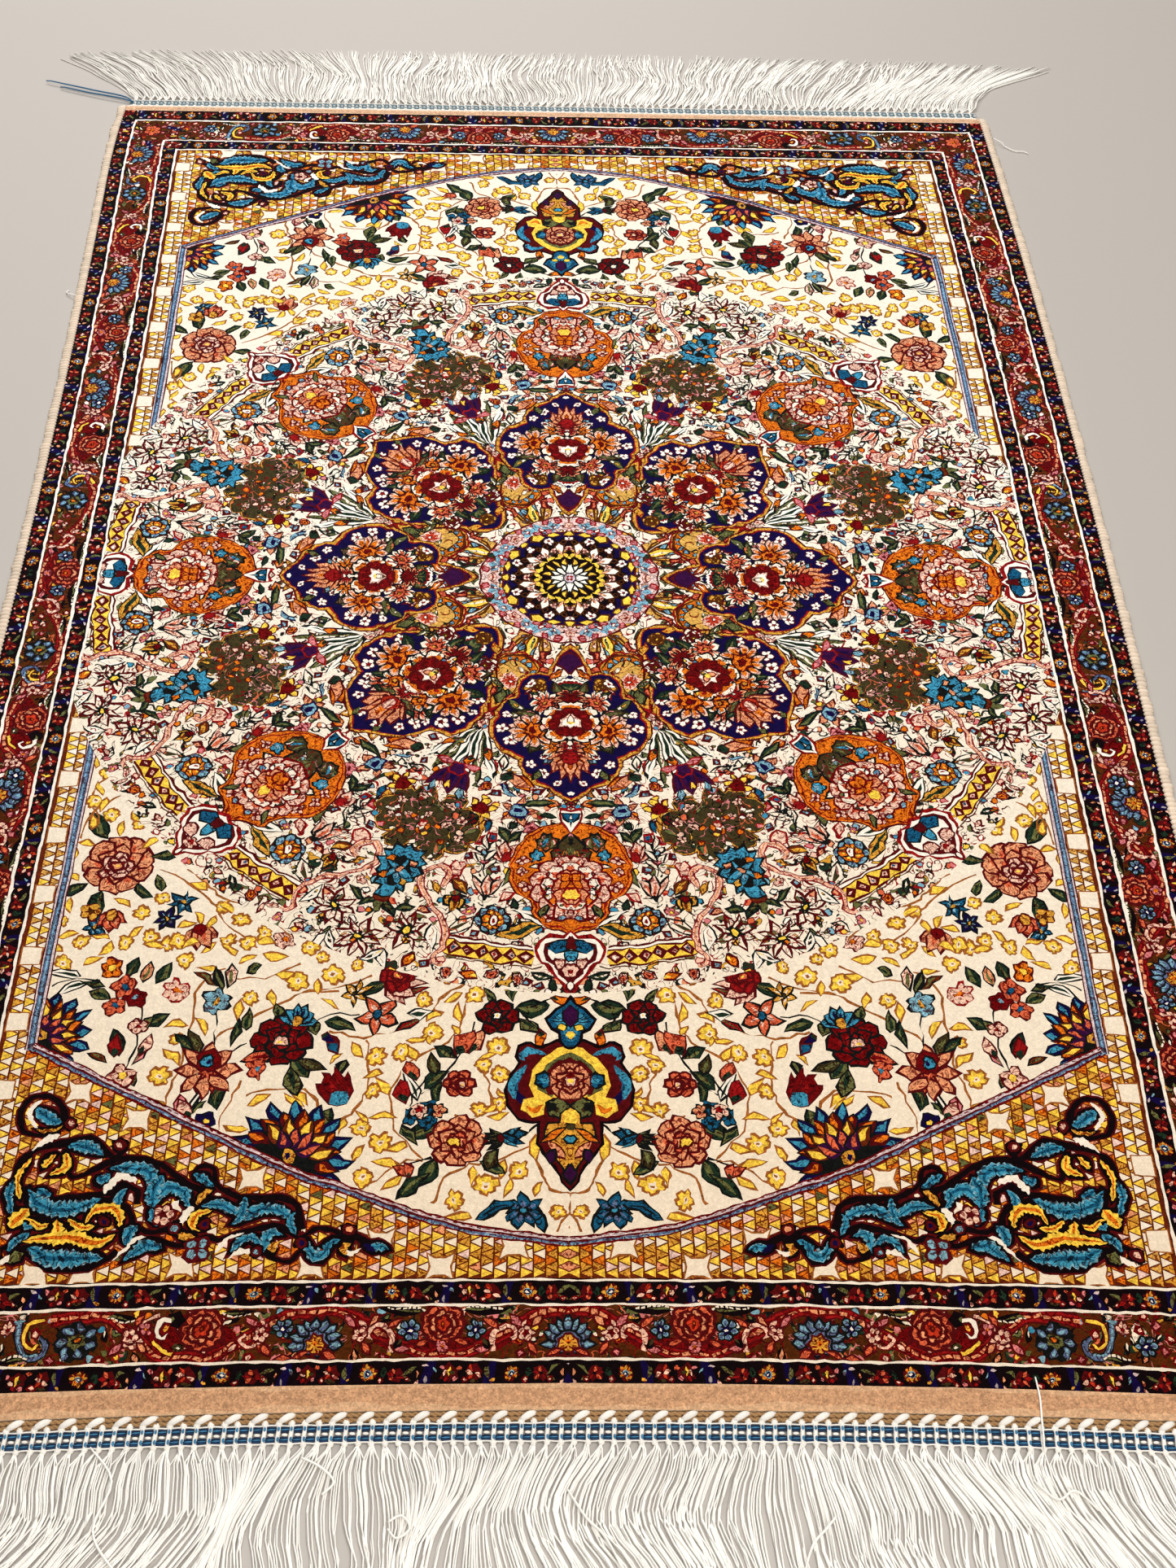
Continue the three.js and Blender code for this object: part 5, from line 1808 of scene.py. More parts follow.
        made += moved([("black", scalloped(6, 6, 0.15)), ("maroon", disc(4.2, 8)), (eye, disc(2.2, 6))],
                      complex(x, y))
    made += moved(daisy(8, 5, "blush", "maroon", "maroon", 1.4), 280 + 628j)
    made += moved(daisy(9, 4, "sky", "maroon", "maroon", 2), 255 + 655j)
    return made


def quadrant_drawing():
    """One quarter of the field, everything between the circle and the borders, in painting order."""
    flowers = field_flowers() + moved(fan_palmette(44), 199 + 584j, -117)
    flowers += moved(fan_palmette(38), 392 + 482j, -152)

    def bare(gap):
        arch, places = curve(ARC), []
        for p in loose_grid(gap, 4 + 200j, 390 + 650j):
            band = min(arch, key=lambda place: abs(place.real - p.real))
            if abs(p) > 450 and p.imag < band.imag - 10:
                places.append(p)
        return places
    curl = [("vine", stroke(spiral(8, 1.15), 1.6, 1.2, 1))] + moved(gold_leaf(9), 2 + 3j, 60)
    twist = [("vine", stroke(plan((-11, 1), (-4, -3), (4, 3), (11, -1)), 1.6, 1.3, 3))]
    twist += moved(gold_leaf(9), 3j, 120)
    small = [(curl, 8), (moved(gold_leaf(13), -6), 6.6), (gold_flower(5.6), 6),
             (moved(gold_leaf(11, -0.4), -5), 6), (twist, 9), (gold_flower(6.6), 7),
             (moved(leaf(11, 5, 0.2, "moss", "green"), -5), 6)]
    for kinds, gap, seed in ((small, 9, 21), (small[1:4], 5.5, 22)):
        flowers = filled(bare, flowers + pendant(), kinds, gap, seed, 0.6) + flowers
    made = by_hand(flowers) + lattice()
    for left, right, colour in ((391.6, 401.2, "maroon"), (392.6, 400.2, "lilac"), (394.4, 399.2, "ink"),
                                (395.2, 398.6, "slate"), (396.4, 397.4, "sky")):
        made += [(colour, plan((left, 187), (left, 498), (right, 494), (right, 187)))]
    return made + by_hand(arc_band(), 0.8) + by_hand(arabesque(), 2.0) + by_hand(pendant(), 2.0)


field_corner = complex(field_side, field_end)
field_edge = [*arc(ring_radius, cut, 90), *line(ring_radius * 1j, field_end * 1j)[1:],
              *line(field_end * 1j, field_corner)[1:],
              *line(field_corner, complex(field_side, clipped))[1:-1]]
quarter = wedge_patch(field_edge, quadrant_drawing())
near_quarter = mirrored_patch(quarter, ("y",))[1]
far_half, near_half = mirrored_patch(quarter, ("x",)), mirrored_patch(near_quarter, ("x",))
far_field = knotted_slab("pile_far_field", far_half, pile_foot, pile_top, silk, {})
near_field = knotted_slab("pile_near_field", near_half, pile_foot, pile_top, silk, {})

# The borders are the outer pile: narrow flowered guards on each side of a red main border, where
# palmettes and roses take turns, out to the plain clipped margin. They are knotted as one frame.


def guard_repeat():
    """One repeat of the two dark guard borders, 92 long and 15 across, starting at its rosette."""
    made = [("navy", plan((10, -8), (14, -8), (18, 8), (12, 8))),
            ("navy", plan((50, -8), (54, -8), (60, 8), (53, 8)))]
    made += [("maroon", scalloped(6.2, 8, 0.2, 2))]
    made += round_the([("gold", moved_outline(blade(4, 2.3), 1.6))], 8)
    made += round_the([("orange", moved_outline(blade(3, 1.6, 0, 1, 3), 2))], 4, 45)
    made += [("sky", disc(2.8, 6)), ("navy", disc(2.1, 6)), ("ivory", disc(1, 4))]
    made += moved([("moss", blade(9, 3.4, 0.3))], 15 - 5j, 80) + [("gold", disc_at(12, 5, 1.4))]
    for x, y, size, petals in ((24, 0, 1.0, ("blush", "scarlet")), (75, 1, 0.9, ("red", "salmon"))):
        made += moved([("maroon", scalloped(6.4, 5, 0.25, 2))], complex(x, y), size=size)
        for turn in (-65, -10, 45, 150):
            made += moved([(petals[turn % 2], blade(5.4, 2.5))],
                          complex(x, y) + cmath.rect(1, math.radians(turn)), turn, size)
        made += [("black", disc_at(x, y, 1.3, 4))]
    made += moved([("maroon", scalloped(7.2, 6, 0.3, 2))], 40)
    for x, y, colour in (
            (34, -4, "salmon"), (36, 4.5, "pink"), (42, 5, "red"), (46, -3.5, "pink"), (43, 1, "blush")):
        made += [("black", disc_at(x, y, 2.5)), (colour, disc_at(x, y, 1.7))]
    made += moved([("yellow", blade(7, 2.2, 0.3))], 39 - 4j, 70) + [("olive", disc_at(38, 0, 1.8))]
    for x, y, colour in (
            (52, -3, "sky"), (56, 3, "grey"), (61, -1, "peach"), (58, -5, "lilac"), (60, 5, "blush")):
        made += moved([(colour, blade(4.4, 2))], complex(x, y), x * 37 % 180)
    made += moved([("moss", blade(9, 3, 0.3))], 63 - 4j, 15)
    made += moved([("moss", blade(7, 2.6, -0.3))], 64 + 5j, -10)
    made += moved([("green", blade(8, 4.4))], 83 - 4j, 85)
    made += moved([("olive", blade(8, 2.4))], 20 + 6j, -5)
    for x, y in ((68, 4), (85, 5), (30, 5)):
        made += [("crimson", disc_at(x, y, 2.4)), ("blush", disc_at(x, y, 1.2, 4))]
    return made


def edged(colour, places, width, tip, ink="maroon"):
    """A coloured line with a dark edge along both its sides."""
    return [(ink, stroke(plan(*places), width + 2.2, tip + 2)),
            (colour, stroke(plan(*places), width, tip))]


def ribbon(*places):
    """The red ribbon that waves from side to side of the main border, with a dashed peach line along it."""
    made = [("maroon", stroke(plan(*places), 9.4, fine=4)), ("red", stroke(plan(*places), 7.2, fine=4)),
            ("crimson", stroke(plan(*places), 4.6, fine=4))]
    made += row([("peach", plan((-2.8, -1), (2.2, -1.3), (3, 0.9), (-2, 1.2)))],
                curve(plan(*places), fine=4), 6.8)
    return made


def border_palmette(heart="gold"):
    """A fan of blue petals, open towards the field, round a heart of gold, orange and red."""
    made = [("maroon", [3j + p for p in scalloped(16.4, 11, 0.1, 2)])]
    petal = pointed("slate", 11, 5.6, belly=1.25, ink="ink")
    petal += moved([("sky", blade(7, 3.2, 0, 1.2, 3))], at=3.6)
    for turn in (-184, 4, -158, -22, -135, -45, -112, -68, -90):
        made += moved(petal, 7j + cmath.rect(6.4, math.radians(turn)), turn)
    made += inked("slate", [7j + p for p in scalloped(8.6, 9, 0.16, 2)], 0.8, "ink")
    made += inked(heart, [8j + p for p in scalloped(6.6, 7, 0.2, 2)], 0.8, "maroon")
    made += moved(round_the([("crimson", moved_outline(blade(3.8, 1.4, 0, 1, 3), 2.2))], 7, 12), 8j)
    made += both_sides(moved(pointed("salmon", 9, 3.6, 0.3), 5 + 13j, 10))
    return made + [("orange", disc_at(0, 7, 2.2)), ("crimson", disc_at(0, 8, 1.2, 4))]


def border_rose():
    """A rose of cupped salmon petals with dark red lines between them."""
    made = inked("salmon", scalloped(13, 9, 0.12), 1.5, "maroon")
    made += round_the([("maroon", moved_outline(blade(4.6, 1.5, 0.4, 1, 3), 8.4))], 9, 8)
    made += inked("peach", scalloped(8.8, 7, 0.18), 1.2, "maroon")
    made += round_the([("crimson", moved_outline(blade(3.4, 1.3, 0.4, 1, 3), 5))], 7)
    made += inked("scarlet", scalloped(5, 5, 0.22), 1.1, "maroon")
    return made + [("maroon", scalloped(2.4, 4, 0.2, 2)), ("orange", disc(1, 4))]


def small_blue():
    petal = inked("sky", moved_outline(blade(5, 4, 0, 1.2), 2.6), 0.8, "ink")
    made = round_the(petal + [("slate", moved_outline(blade(4, 2.4, 0, 1.2, 3), 2.8))], 6)
    return moved(made + [("navy", disc(3.2, 6)), ("ivory", disc(1.6, 4))], size=0.9)


def dashed_leaf(length, bend):
    """A long black leaf edged with a row of cream dashes."""
    made = [("black", blade(length, length * 0.24, bend, 0.9)),
            ("moss", blade(length * 0.6, 1.6, bend, 1, 3))]
    edge = curve([0, complex(length * 0.3, length * bend * 0.1 - 2.4),
                  complex(length * 0.8, length * bend * 0.64 - 1.4)], fine=4)
    return made + row([("cream", plan((-1.3, -0.7), (1.2, -0.6), (1.3, 0.7), (-1.2, 0.6)))], edge, 3.6)


def pink_curl():
    """A pale curl hooked back on itself, with small pink leaves."""
    made = edged("blush", ((-9, 12), (-10, 3), (-6, -5), (2, -7), (6, -2), (3, 2)), 3.4, 2.2, "crimson")
    made += moved(pointed("pink", 9, 4.4, 0.3), -11 + 8j, 150)
    made += moved(pointed("salmon", 9, 3.6, -0.3), -7 - 6j, -130)
    return made + moved(pointed("blush", 7, 3.6, ink="crimson"), 8 - 6j, -40)


def cartouche_unit():
    """A rose between two blue flowers, above a dark red lens."""
    made = [("crimson",
             curve(plan((-46, 4), (-34, -1), (-18, 3), (0, 5), (18, 3), (34, -1), (46, 4), (32, 14),
                        (0, 18), (-32, 14)), True, 3))]
    made += in_pairs(
        90,
        (dashed_leaf(34, -0.06), 11 - 15.5j, 2),
        ([("black", blade(13, 6, 0.3)), ("moss", blade(9, 2.4, 0.3, 1, 3))], 31 - 6j, -20),
        (pink_curl(), 43 + 2j),
    )
    made += moved(border_rose(), -6j) + both_sides(moved(small_blue(), 22 - 2j, 15))
    made += moved(daisy(4.8, 5, "pink", "orange", "maroon", 1), 10j)
    made += in_pairs(
        90,
        ([("black", blade(11, 5)), ("moss", blade(8, 2, 0, 1, 3))], 9 + 6j, 10),
        ([("black", blade(9, 5)), ("olive", blade(6, 2, 0, 1, 3))], 27 + 4j, 60),
    )
    return made + both_sides(moved(pointed("salmon", 8, 3.4, edge=0.7), 17 + 8j, 200))


def rose_unit():
    """A loose rose with pink flowers and a pale curl on a dark red lens."""
    made = [("crimson",
             curve(plan((-34, 4), (-20, -8), (0, -15), (20, -8), (34, 4), (22, 13), (0, 15), (-22, 13)),
                   True, 3))]
    made += moved(
        round_the(inked("blush", moved_outline(blade(6, 3.6), 10.4), 0.8, "maroon"), 7), -8 - 4j)
    made += moved(border_rose(), -8 - 4j, 20)
    made += moved([("black", scalloped(7, 5, 0.2, 2)), ("moss", blade(6, 3))], 10 - 11j)
    made += moved([("olive", scalloped(4, 4, 0.2, 2)), ("cream", disc(1.2, 4))], 6 + 8j)
    made += edged("ivory", ((14, -10), (20, -11), (23, -4), (19, 1), (16, -2)), 3, 1.8)
    made += [("gold", disc_at(18, -6, 2))]
    made += edged("blush", ((22, -14), (31, -10), (36, -1)), 2.6, 1.6)
    made += edged("yellow", ((10, 13), (18, 9), (24, 3)), 2.4, 1.6)
    made += moved(daisy(6.5, 5, "blush", "crimson", "maroon", 1), 38 + 3j)
    made += moved(daisy(4.6, 4, "pink", "orange", "maroon", 1), 30 - 5j)
    made += moved(dashed_leaf(24, 0.1), -20 - 15j, 178)
    made += moved([("black", blade(12, 5)), ("cream", blade(6, 1.8))], -22 - 7j, 200)
    made += moved(pointed("peach", 9, 3.6), -26 + 7j, 170)
    return made + moved(pink_curl(), -40 + 2j, 0, 0.9, True)


def rosette_unit():
    """A ragged blue rosette beside a gold and blue scroll."""
    made = moved([("ink", scalloped(14, 7, 0.2))], 2j)
    made += moved(round_the(inked("slate", moved_outline(blade(7, 6, 0.3, 1.2), 5.8), 0.8, "ink")
                            + [("sky", moved_outline(blade(5, 3, 0.3, 1, 3), 7))], 7), 2j)
    made += moved(
        [("moss", scalloped(6.6, 6, 0.25, 2)), ("ink", disc(3.4, 6)), ("orange", disc(2, 5))], 2j)
    made += edged("slate", ((40, -12), (38, 2), (32, 11), (22, 12), (19, 4), (24, -1)), 4.6, 2, "ink")
    made += [("sky", stroke(plan((40, -11), (38, 2), (32, 10), (24, 11)), 1.6, 1))]
    made += edged("yellow", ((24, -13), (33, -9), (35, 0), (28, 7), (24, 3)), 2.6, 1.6)
    made += [("sky", crescent(plan((36, -13), (44, -10), (48, -2)), 4))]
    made += moved(dashed_leaf(26, -0.1), -16 - 14j, 182)
    made += moved(daisy(5, 5, "blush", "crimson", "maroon", 1), 47 - 8j)
    made += moved(dashed_leaf(24, 0.2), 30 + 13j, -4)
    return made + moved([("moss", blade(9, 3.4))], -16 + 10j, 170)


def knot_flowers():
    """The pink flowers where the ribbon crosses from side to side."""
    made = daisy(5.4, 5, "blush", "crimson", "maroon", 1.2)
    made += moved(pointed("pink", 9, 4), 4 + 5j, 50)
    made += moved(pointed("salmon", 9, 3.6), -3 - 7j, -120)
    return made + moved(pointed("peach", 8, 3), -6 + 5j, 130)


def main_border(start, end, units, crossings):
    """A length of the main border along x: ground, ribbon, then the flowers and what lies between."""
    ground = [("brown", plan((start, -19), (end, -19), (end, 19), (start, 19)))]
    turns, drawn = [], []
    for place, unit in units:
        lens = unit in (cartouche_unit, rose_unit)
        if lens:
            ground += moved(unit()[:1], place)
        turns.append((place, 14.5 if lens else -14.5))
        drawn += moved(unit()[1:] if lens else unit(), place)
    route = []
    for place, side in sorted(turns):
        route += [(place - 20, side * 0.9), (place, side), (place + 20, side * 0.9)]
    for place in crossings:
        drawn += moved(knot_flowers(), place, 0, 1, place % 2 > 0)
    drawn = ribbon(*route) + drawn
    tucked = [
        (moved(pointed("salmon", 8, 4, 0.3), -4), 4), (inked("blush", disc(1.8, 5), 1.0, "crimson"), 3),
        (moved([("black", blade(10, 5, 0.3)), ("moss", blade(7, 2, 0.3, 1, 3))], -5), 4.6),
        (moved([("black", blade(9, 4.4, -0.3)), ("cream", blade(5, 1.2, -0.3, 1, 3))], -4.5), 4.4),
        ([("crimson", stroke(spiral(4, 1.1), 1.7, 1.2, 1))], 3.8),
        (inked("pink", scalloped(2.4, 4, 0.25, 2), 0.9, "maroon"), 3),
        (moved(pointed("peach", 7, 2.6, edge=0.7, ink="black"), -3.5), 3.6)]

    def strip(gap):
        return [p for p in loose_grid(gap, complex(start, -17), complex(end, 17)) if abs(p.imag) < 16.6]
    return ground + filled(strip, drawn, tucked, 4.6, 9, 0.2) + drawn


def border_drawing():
    """One quarter of all the borders: the long side runs up x = 455, and the end runs along y = 717."""
    made = [("cream", plan((0, 0), (0, 770), (491, 770), (491, 0)))]
    made += [("black", plan((412, -8), (412, 671), (-8, 671), (-8, 756), (498, 756), (498, -8)))]
    end_units = ((0, border_palmette), (84, cartouche_unit), (168, border_palmette), (252, rose_unit),
                 (326, rosette_unit))
    side_units = ((0, cartouche_unit), (95, rosette_unit), (182, rose_unit), (256, border_palmette),
                  (344, cartouche_unit), (426, border_palmette), (508, rose_unit), (590, rosette_unit),
                  (668, border_palmette))
    end = main_border(-30, 474, end_units, (29, 139, 205, 292)) + moved(small_blue(), 190 - 4j)
    end += moved(small_blue(), 388 + 4j)
    side = main_border(-30, 700, side_units, (142, 222, 289, 399, 468, 548, 632))
    side += moved(small_blue(), 235 - 3j) + moved(small_blue(), 449 - 3j)
    made += [(c, [complex(455.4 + p.imag, p.real) for p in o]) for c, o in side]
    made += moved(end, 716.5j)
    made += moved(daisy(9, 6, "salmon", "orange", "maroon", 1.2), 452 + 716j)
    repeat = guard_repeat()
    for place in (-64, 28, 120, 212, 305, 397):
        made += moved(repeat, complex(place, 687.5))
    for place in (-57, 38, 132, 227, 320, 414):
        made += moved(repeat, complex(place, 744.6))
    for place in (-88, 6, 100, 195, 289, 383, 478, 572, 665):
        made += [(c, [complex(428.2 + p.imag, place + p.real) for p in o]) for c, o in repeat]
    for place in (-80, 15, 109, 204, 297, 391, 486, 580, 674):
        made += [(c, [complex(482.3 + p.imag, place + p.real) for p in o]) for c, o in repeat]
    made = by_hand(made, 1.8)
    for place, far in ((436.6, 697), (474.2, 735.6), (420.6, 679.2)):
        made += by_hand(
            [("ivory", stroke(plan((place, -5), (place, far / 2), (place, far)), 2.2, fine=1)),
             ("ivory", stroke(plan((-5, far), (place / 2, far), (place + 1.1, far)), 1.8, fine=1))], 0.4)
    made += [("beige", plan((-30, 752.3), (490.6, 752.3), (490.6, 772), (-30, 772)))]
    # The clipped pile shows paler along both edges of the plain strip, more so in some places.
    crest = [complex(x, 754.4 + 1.1 * math.sin(x / 23) + 0.8 * math.sin(x / 7.3))
             for x in range(490, -31, -8)]
    made += [("sand", plan((-30, 752.3), (490.6, 752.3)) + crest)]
    foot = [complex(x, 766.2 + 1.6 * math.sin(x / 31) + 1.2 * math.sin(x / 8.1))
            for x in range(-30, 491, 8)]
    return made + [("sand", foot + plan((490.6, 772), (-30, 772)))]


rug_corner = complex(half_width, half_length)
frame_edge = [*line(field_side + 0j, half_width + 0j), *line(half_width + 0j, rug_corner)[1:],
              *line(rug_corner, half_length * 1j)[1:], *line(half_length * 1j, field_end * 1j)[1:],
              *line(field_end * 1j, field_corner)[1:], *line(field_corner, field_side + 0j)[1:-1]]
border_patches = mirrored_patch(wedge_patch(frame_edge, border_drawing()), ("x", "y"))
borders = knotted_slab("pile_borders", border_patches, pile_foot, pile_top, silk, {"brown": 2})
for piece in (rosette, ring, far_field, near_field, borders):
    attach(piece, "root")
    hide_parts("pile_carpet")

# The foundation is the rug's woven cloth, plain cotton warp and weft, one thin sheet from end web to
# end web. The silk knots are tied round its warps, so it only shows on the underside.


def plain_weave(name, colour, pitch):
    """Flat plain weave: threads over and under one another along the cloth's own two directions."""
    finish = bpy.data.materials.new(name)
    finish.use_nodes = True
    tree = finish.node_tree
    surface = tree.nodes["Principled BSDF"]
    place = add_node(tree, "ShaderNodeTexCoord").outputs["Object"]
    weave = add_node(
        tree, "ShaderNodeTexBrick",
        {"Vector": place, "Scale": 1 / pitch, "Mortar Size": 0.08, "Brick Width": 1.0, "Row Height": 0.5,
         "Color1": (*colour, 1), "Color2": (*(c * 0.8 for c in colour), 1),
         "Mortar": (*(c * 0.35 for c in colour), 1)})
    bump = add_node(tree, "ShaderNodeBump",
                    {"Strength": 0.4, "Distance": 0.0004, "Height": weave.outputs["Fac"]}, invert=True)
    tree.links.new(weave.outputs["Color"], surface.inputs["Base Color"])
    tree.links.new(bump.outputs["Normal"], surface.inputs["Normal"])
    surface.inputs["Roughness"].default_value = 0.85
    return finish


def foundation_sheet(columns=40, rows=60):
    """A closed grid, laid like the pile, 1 mm thick."""
    places, faces = [], []
    for z in (0.0, 1.0):
        for j in range(rows + 1):
            for i in range(columns + 1):
                x, y = -490.4 + 980.8 * i / columns, -769.9 + 1539.8 * j / rows
                places.append(laid(x, drawn_up(y), z))
    layer = (columns + 1) * (rows + 1)
    for j in range(rows):
        for i in range(columns):
            a = j * (columns + 1) + i
            b, c, d = a + 1, a + columns + 2, a + columns + 1
            faces.append((a, d, c, b))
            faces.append((a + layer, b + layer, c + layer, d + layer))
    rim = list(range(columns))
    rim += [j * (columns + 1) + columns for j in range(rows)]
    rim += [rows * (columns + 1) + i for i in range(columns, 0, -1)]
    rim += [j * (columns + 1) for j in range(rows, 0, -1)]
    for a, b in zip(rim, rim[1:] + rim[:1]):
        faces.append((a, b, b + layer, a + layer))
    mesh = bpy.data.meshes.new("foundation")
    mesh.from_pydata(places, [], faces)
    mesh.materials.append(plain_weave("cotton_foundation", (0.62, 0.52, 0.38), 0.0012))
    return in_scene("foundation", mesh)


foundation = foundation_sheet()
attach(foundation, "root")
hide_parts("pile_carpet")

# The side bindings are cream silk wound over the outermost warps, stitch after stitch, from end to
# end of each long side. The winding bunches up every few millimetres, so the edge is lumpy.


def thread(points, radius, sides=6, taper=0.0):
    """Points, faces of one round thread along points, with closed ends; taper thins it to each end."""
    rings, faces = [], []
    last = len(points) - 1
    for i, point in enumerate(points):
        ahead = (points[min(i + 1, last)] - points[max(i - 1, 0)]).normalized()
        side = ahead.cross(Vector((0, 0, 1)))
        side = side.normalized() if side.length > 1e-6 else Vector((1, 0, 0))
        up = side.cross(ahead)
        here = radius * (1 - taper * abs(2 * i / last - 1) ** 3)
        for k in range(sides):
            turn = 2 * math.pi * k / sides
            rings.append(point + here * (math.cos(turn) * side + math.sin(turn) * up))
    for i in range(last):
        for k in range(sides):
            a, b = i * sides + k, i * sides + (k + 1) % sides
            faces.append((a, b, b + sides, a + sides))
    faces.append(tuple(reversed(range(sides))))
    faces.append(tuple(range(last * sides, last * sides + sides)))
    return rings, faces


def spun(name, threads, finish):
    """Joins threads into one object, pressed flat wherever they lie on the floor."""
    places, faces, shades = [], [], []
    random.seed(name)
    for rings, thread_faces in threads:
        first, shade = len(places), random.random()
        places += [Vector((p.x, p.y, max(p.z, 0.0001))) for p in rings]
        faces += [tuple(first + v for v in face) for face in thread_faces]
        shades += [shade] * len(thread_faces)
    mesh = bpy.data.meshes.new(name)
    mesh.from_pydata(places, [], faces)
    mesh.polygons.foreach_set("use_smooth", [True] * len(faces))
    own = mesh.attributes.new("own_shade", "FLOAT", "FACE")
    own.data.foreach_set("value", shades)
    mesh.materials.append(finish)
    piece = in_scene(name, mesh)
    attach(piece, "root")
    return piece


def spun_yarn(name, colour, grain, contrast, roughness=0.7):
    """Yarn: fine fibres along and across it, and each thread a little lighter or darker than the next."""
    finish = bpy.data.materials.new(name)
    finish.use_nodes = True
    tree = finish.node_tree
    surface = tree.nodes["Principled BSDF"]
    place = add_node(tree, "ShaderNodeTexCoord").outputs["Object"]
    fibre = add_node(
        tree, "ShaderNodeTexNoise", {"Vector": place, "Scale": grain, "Detail": 4}).outputs["Fac"]
    own = add_node(tree, "ShaderNodeAttribute", attribute_name="own_shade").outputs["Fac"]
    both = add_node(tree, "ShaderNodeMath", {0: own, 1: fibre}, operation="ADD").outputs["Value"]
    tone = add_node(
        tree, "ShaderNodeMapRange",
        {"Value": both, "From Max": 2, "To Min": 1 - contrast, "To Max": 1 + contrast}).outputs["Result"]
    tint = add_node(tree, "ShaderNodeVectorMath", {"Vector": colour, "Scale": tone}, operation="SCALE")
    bump = add_node(tree, "ShaderNodeBump", {"Strength": 0.6, "Distance": 0.0003, "Height": fibre})
    tree.links.new(tint.outputs["Vector"], surface.inputs["Base Color"])
    tree.links.new(bump.outputs["Normal"], surface.inputs["Normal"])
    surface.inputs["Roughness"].default_value = roughness
    surface.inputs["Specular IOR Level"].default_value = 0.3
    return finish


def wound_edge(side):
    """One long side's binding: a row of slanting turns, each its own small lump, over a cord."""
    turns = []
    y = -775
    random.seed(side)
    while y < 768:
        width = random.uniform(4.6, 6.2) * (0.85 if y > 0 else 1)
        bulge = 8.2 + random.uniform(-0.8, 0.9) + 1.6 * noise.noise((side, y / 26, 0))
        route = []
        for k in range(5):
            across = k / 4
            x = side * (490.2 + bulge * (1 - math.cos(math.pi * across)) / 2)
            lean = (across - 0.5) * 1.8
            z = 1.5 + 1.6 * math.sin(math.pi * min(1, across + 0.25)) * (1 - across**6)
            route.append(laid(x, drawn_up(y + lean), z if k < 4 else 1.0))
        turns.append(thread(route, width * 0.00052, 6, 0.35))
        y += width * 0.86
    return turns


for side_name, side in (("left", -1), ("right", 1)):
    cream_silk = spun_yarn(f"cream_silk_{side_name}", (0.84, 0.69, 0.54), 900, 0.2)
    edge = spun(f"wound_edge_{side_name}", wound_edge(side), cream_silk)
    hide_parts(f"binding_{side_name}")

# Each end is finished by a narrow web of cotton cord beside the pile. The near web is two tan cords,
# each of two twisted plies, under slanting white whip stitches; the far web is one white cord.


def knot_or_pellet(place, long, wide, high):
    """A small plump lump, such as a knot or a pellet of yarn, in metres."""
    rings, faces, sides, rows = [], [], 6, 4
    for j in range(1, rows):
        turn = math.pi * j / rows
        for k in range(sides):
            round_it = 2 * math.pi * k / sides
            rings.append(place
                         + Vector((wide * math.sin(turn) * math.cos(round_it), -long * math.cos(turn),
                                   high * math.sin(turn) * math.sin(round_it))))
    for j in range(rows - 2):
        for k in range(sides):
            a, b = j * sides + k, j * sides + (k + 1) % sides
            faces.append((a, a + sides, b + sides, b))
    rings += [place + Vector((0, -long, 0)), place + Vector((0, long, 0))]
    foot, head, top = len(rings) - 2, len(rings) - 1, (rows - 2) * sides
    for k in range(sides):
        faces.append((foot, k, (k + 1) % sides))
        faces.append((head, top + (k + 1) % sides, top + k))
    return rings, faces


white_yarn = spun_yarn("white_cotton", (0.93, 0.88, 0.80), 700, 0.10)
tan_yarn = spun_yarn("tan_cotton", (0.40, 0.22, 0.09), 1400, 0.35)

# The warps are tied into posts at even steps across the rug, in millimetres.
post_count, post_reach = 112, 487
post_pitch = 2 * post_reach / post_count
posts = [-post_reach + post_pitch * (i + 0.5) for i in range(post_count)]


def twisted_cord(y, z, radius, turns_per_mm, start=-489, end=489, step=2.6):
    plies = []
    for phase in (0, math.pi):
        route = []
        x = start
        while x <= end:
            turn = phase + x * turns_per_mm * 2 * math.pi
            route.append(laid(x, y + 0.5 * radius * math.cos(turn), z + 0.5 * radius * math.sin(turn)))
            x += step
        plies.append(thread(route, radius * 0.62 / 1000, 5))
    return plies


near_web = spun(
    "near_web", twisted_cord(-772.0, 1.4, 1.8, 0.11) + twisted_cord(-775.2, 1.2, 1.7, 0.11), tan_yarn)
far_web = spun("far_web", twisted_cord(756.9, 1.3, 1.6, 0.11), white_yarn)
stitches = []
random.seed(4)
for i in range(56):
    x = -487 + 17.4 * (i + 0.5) + random.uniform(-1, 1)
    route = [laid(x - 5.5 + 11 * k / 6 + 0.6 * math.sin(k), -776.4 + 5.2 * (k / 6) ** 0.8,
                  1.0 + 2.3 * math.sin(math.pi * (k + 0.6) / 7)) for k in range(7)]
    stitches.append(thread(route, 0.0023, 8, 0.55))
whip_stitches = spun("near_whip_stitches", stitches, white_yarn)
for piece, node in ((near_web, "web_near"), (whip_stitches, "web_near"), (far_web, "web_far")):
    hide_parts(node)

# The bands: white warps gathered into posts, with rows of blue cotton twined round them, and a knot
# below each post where the fringe starts.
blue_yarn = spun_yarn("blue_cotton", (0.008, 0.030, 0.08), 900, 0.6)
pale_blue_yarn = spun_yarn("pale_blue_cotton", (0.05, 0.22, 0.40), 900, 0.4)


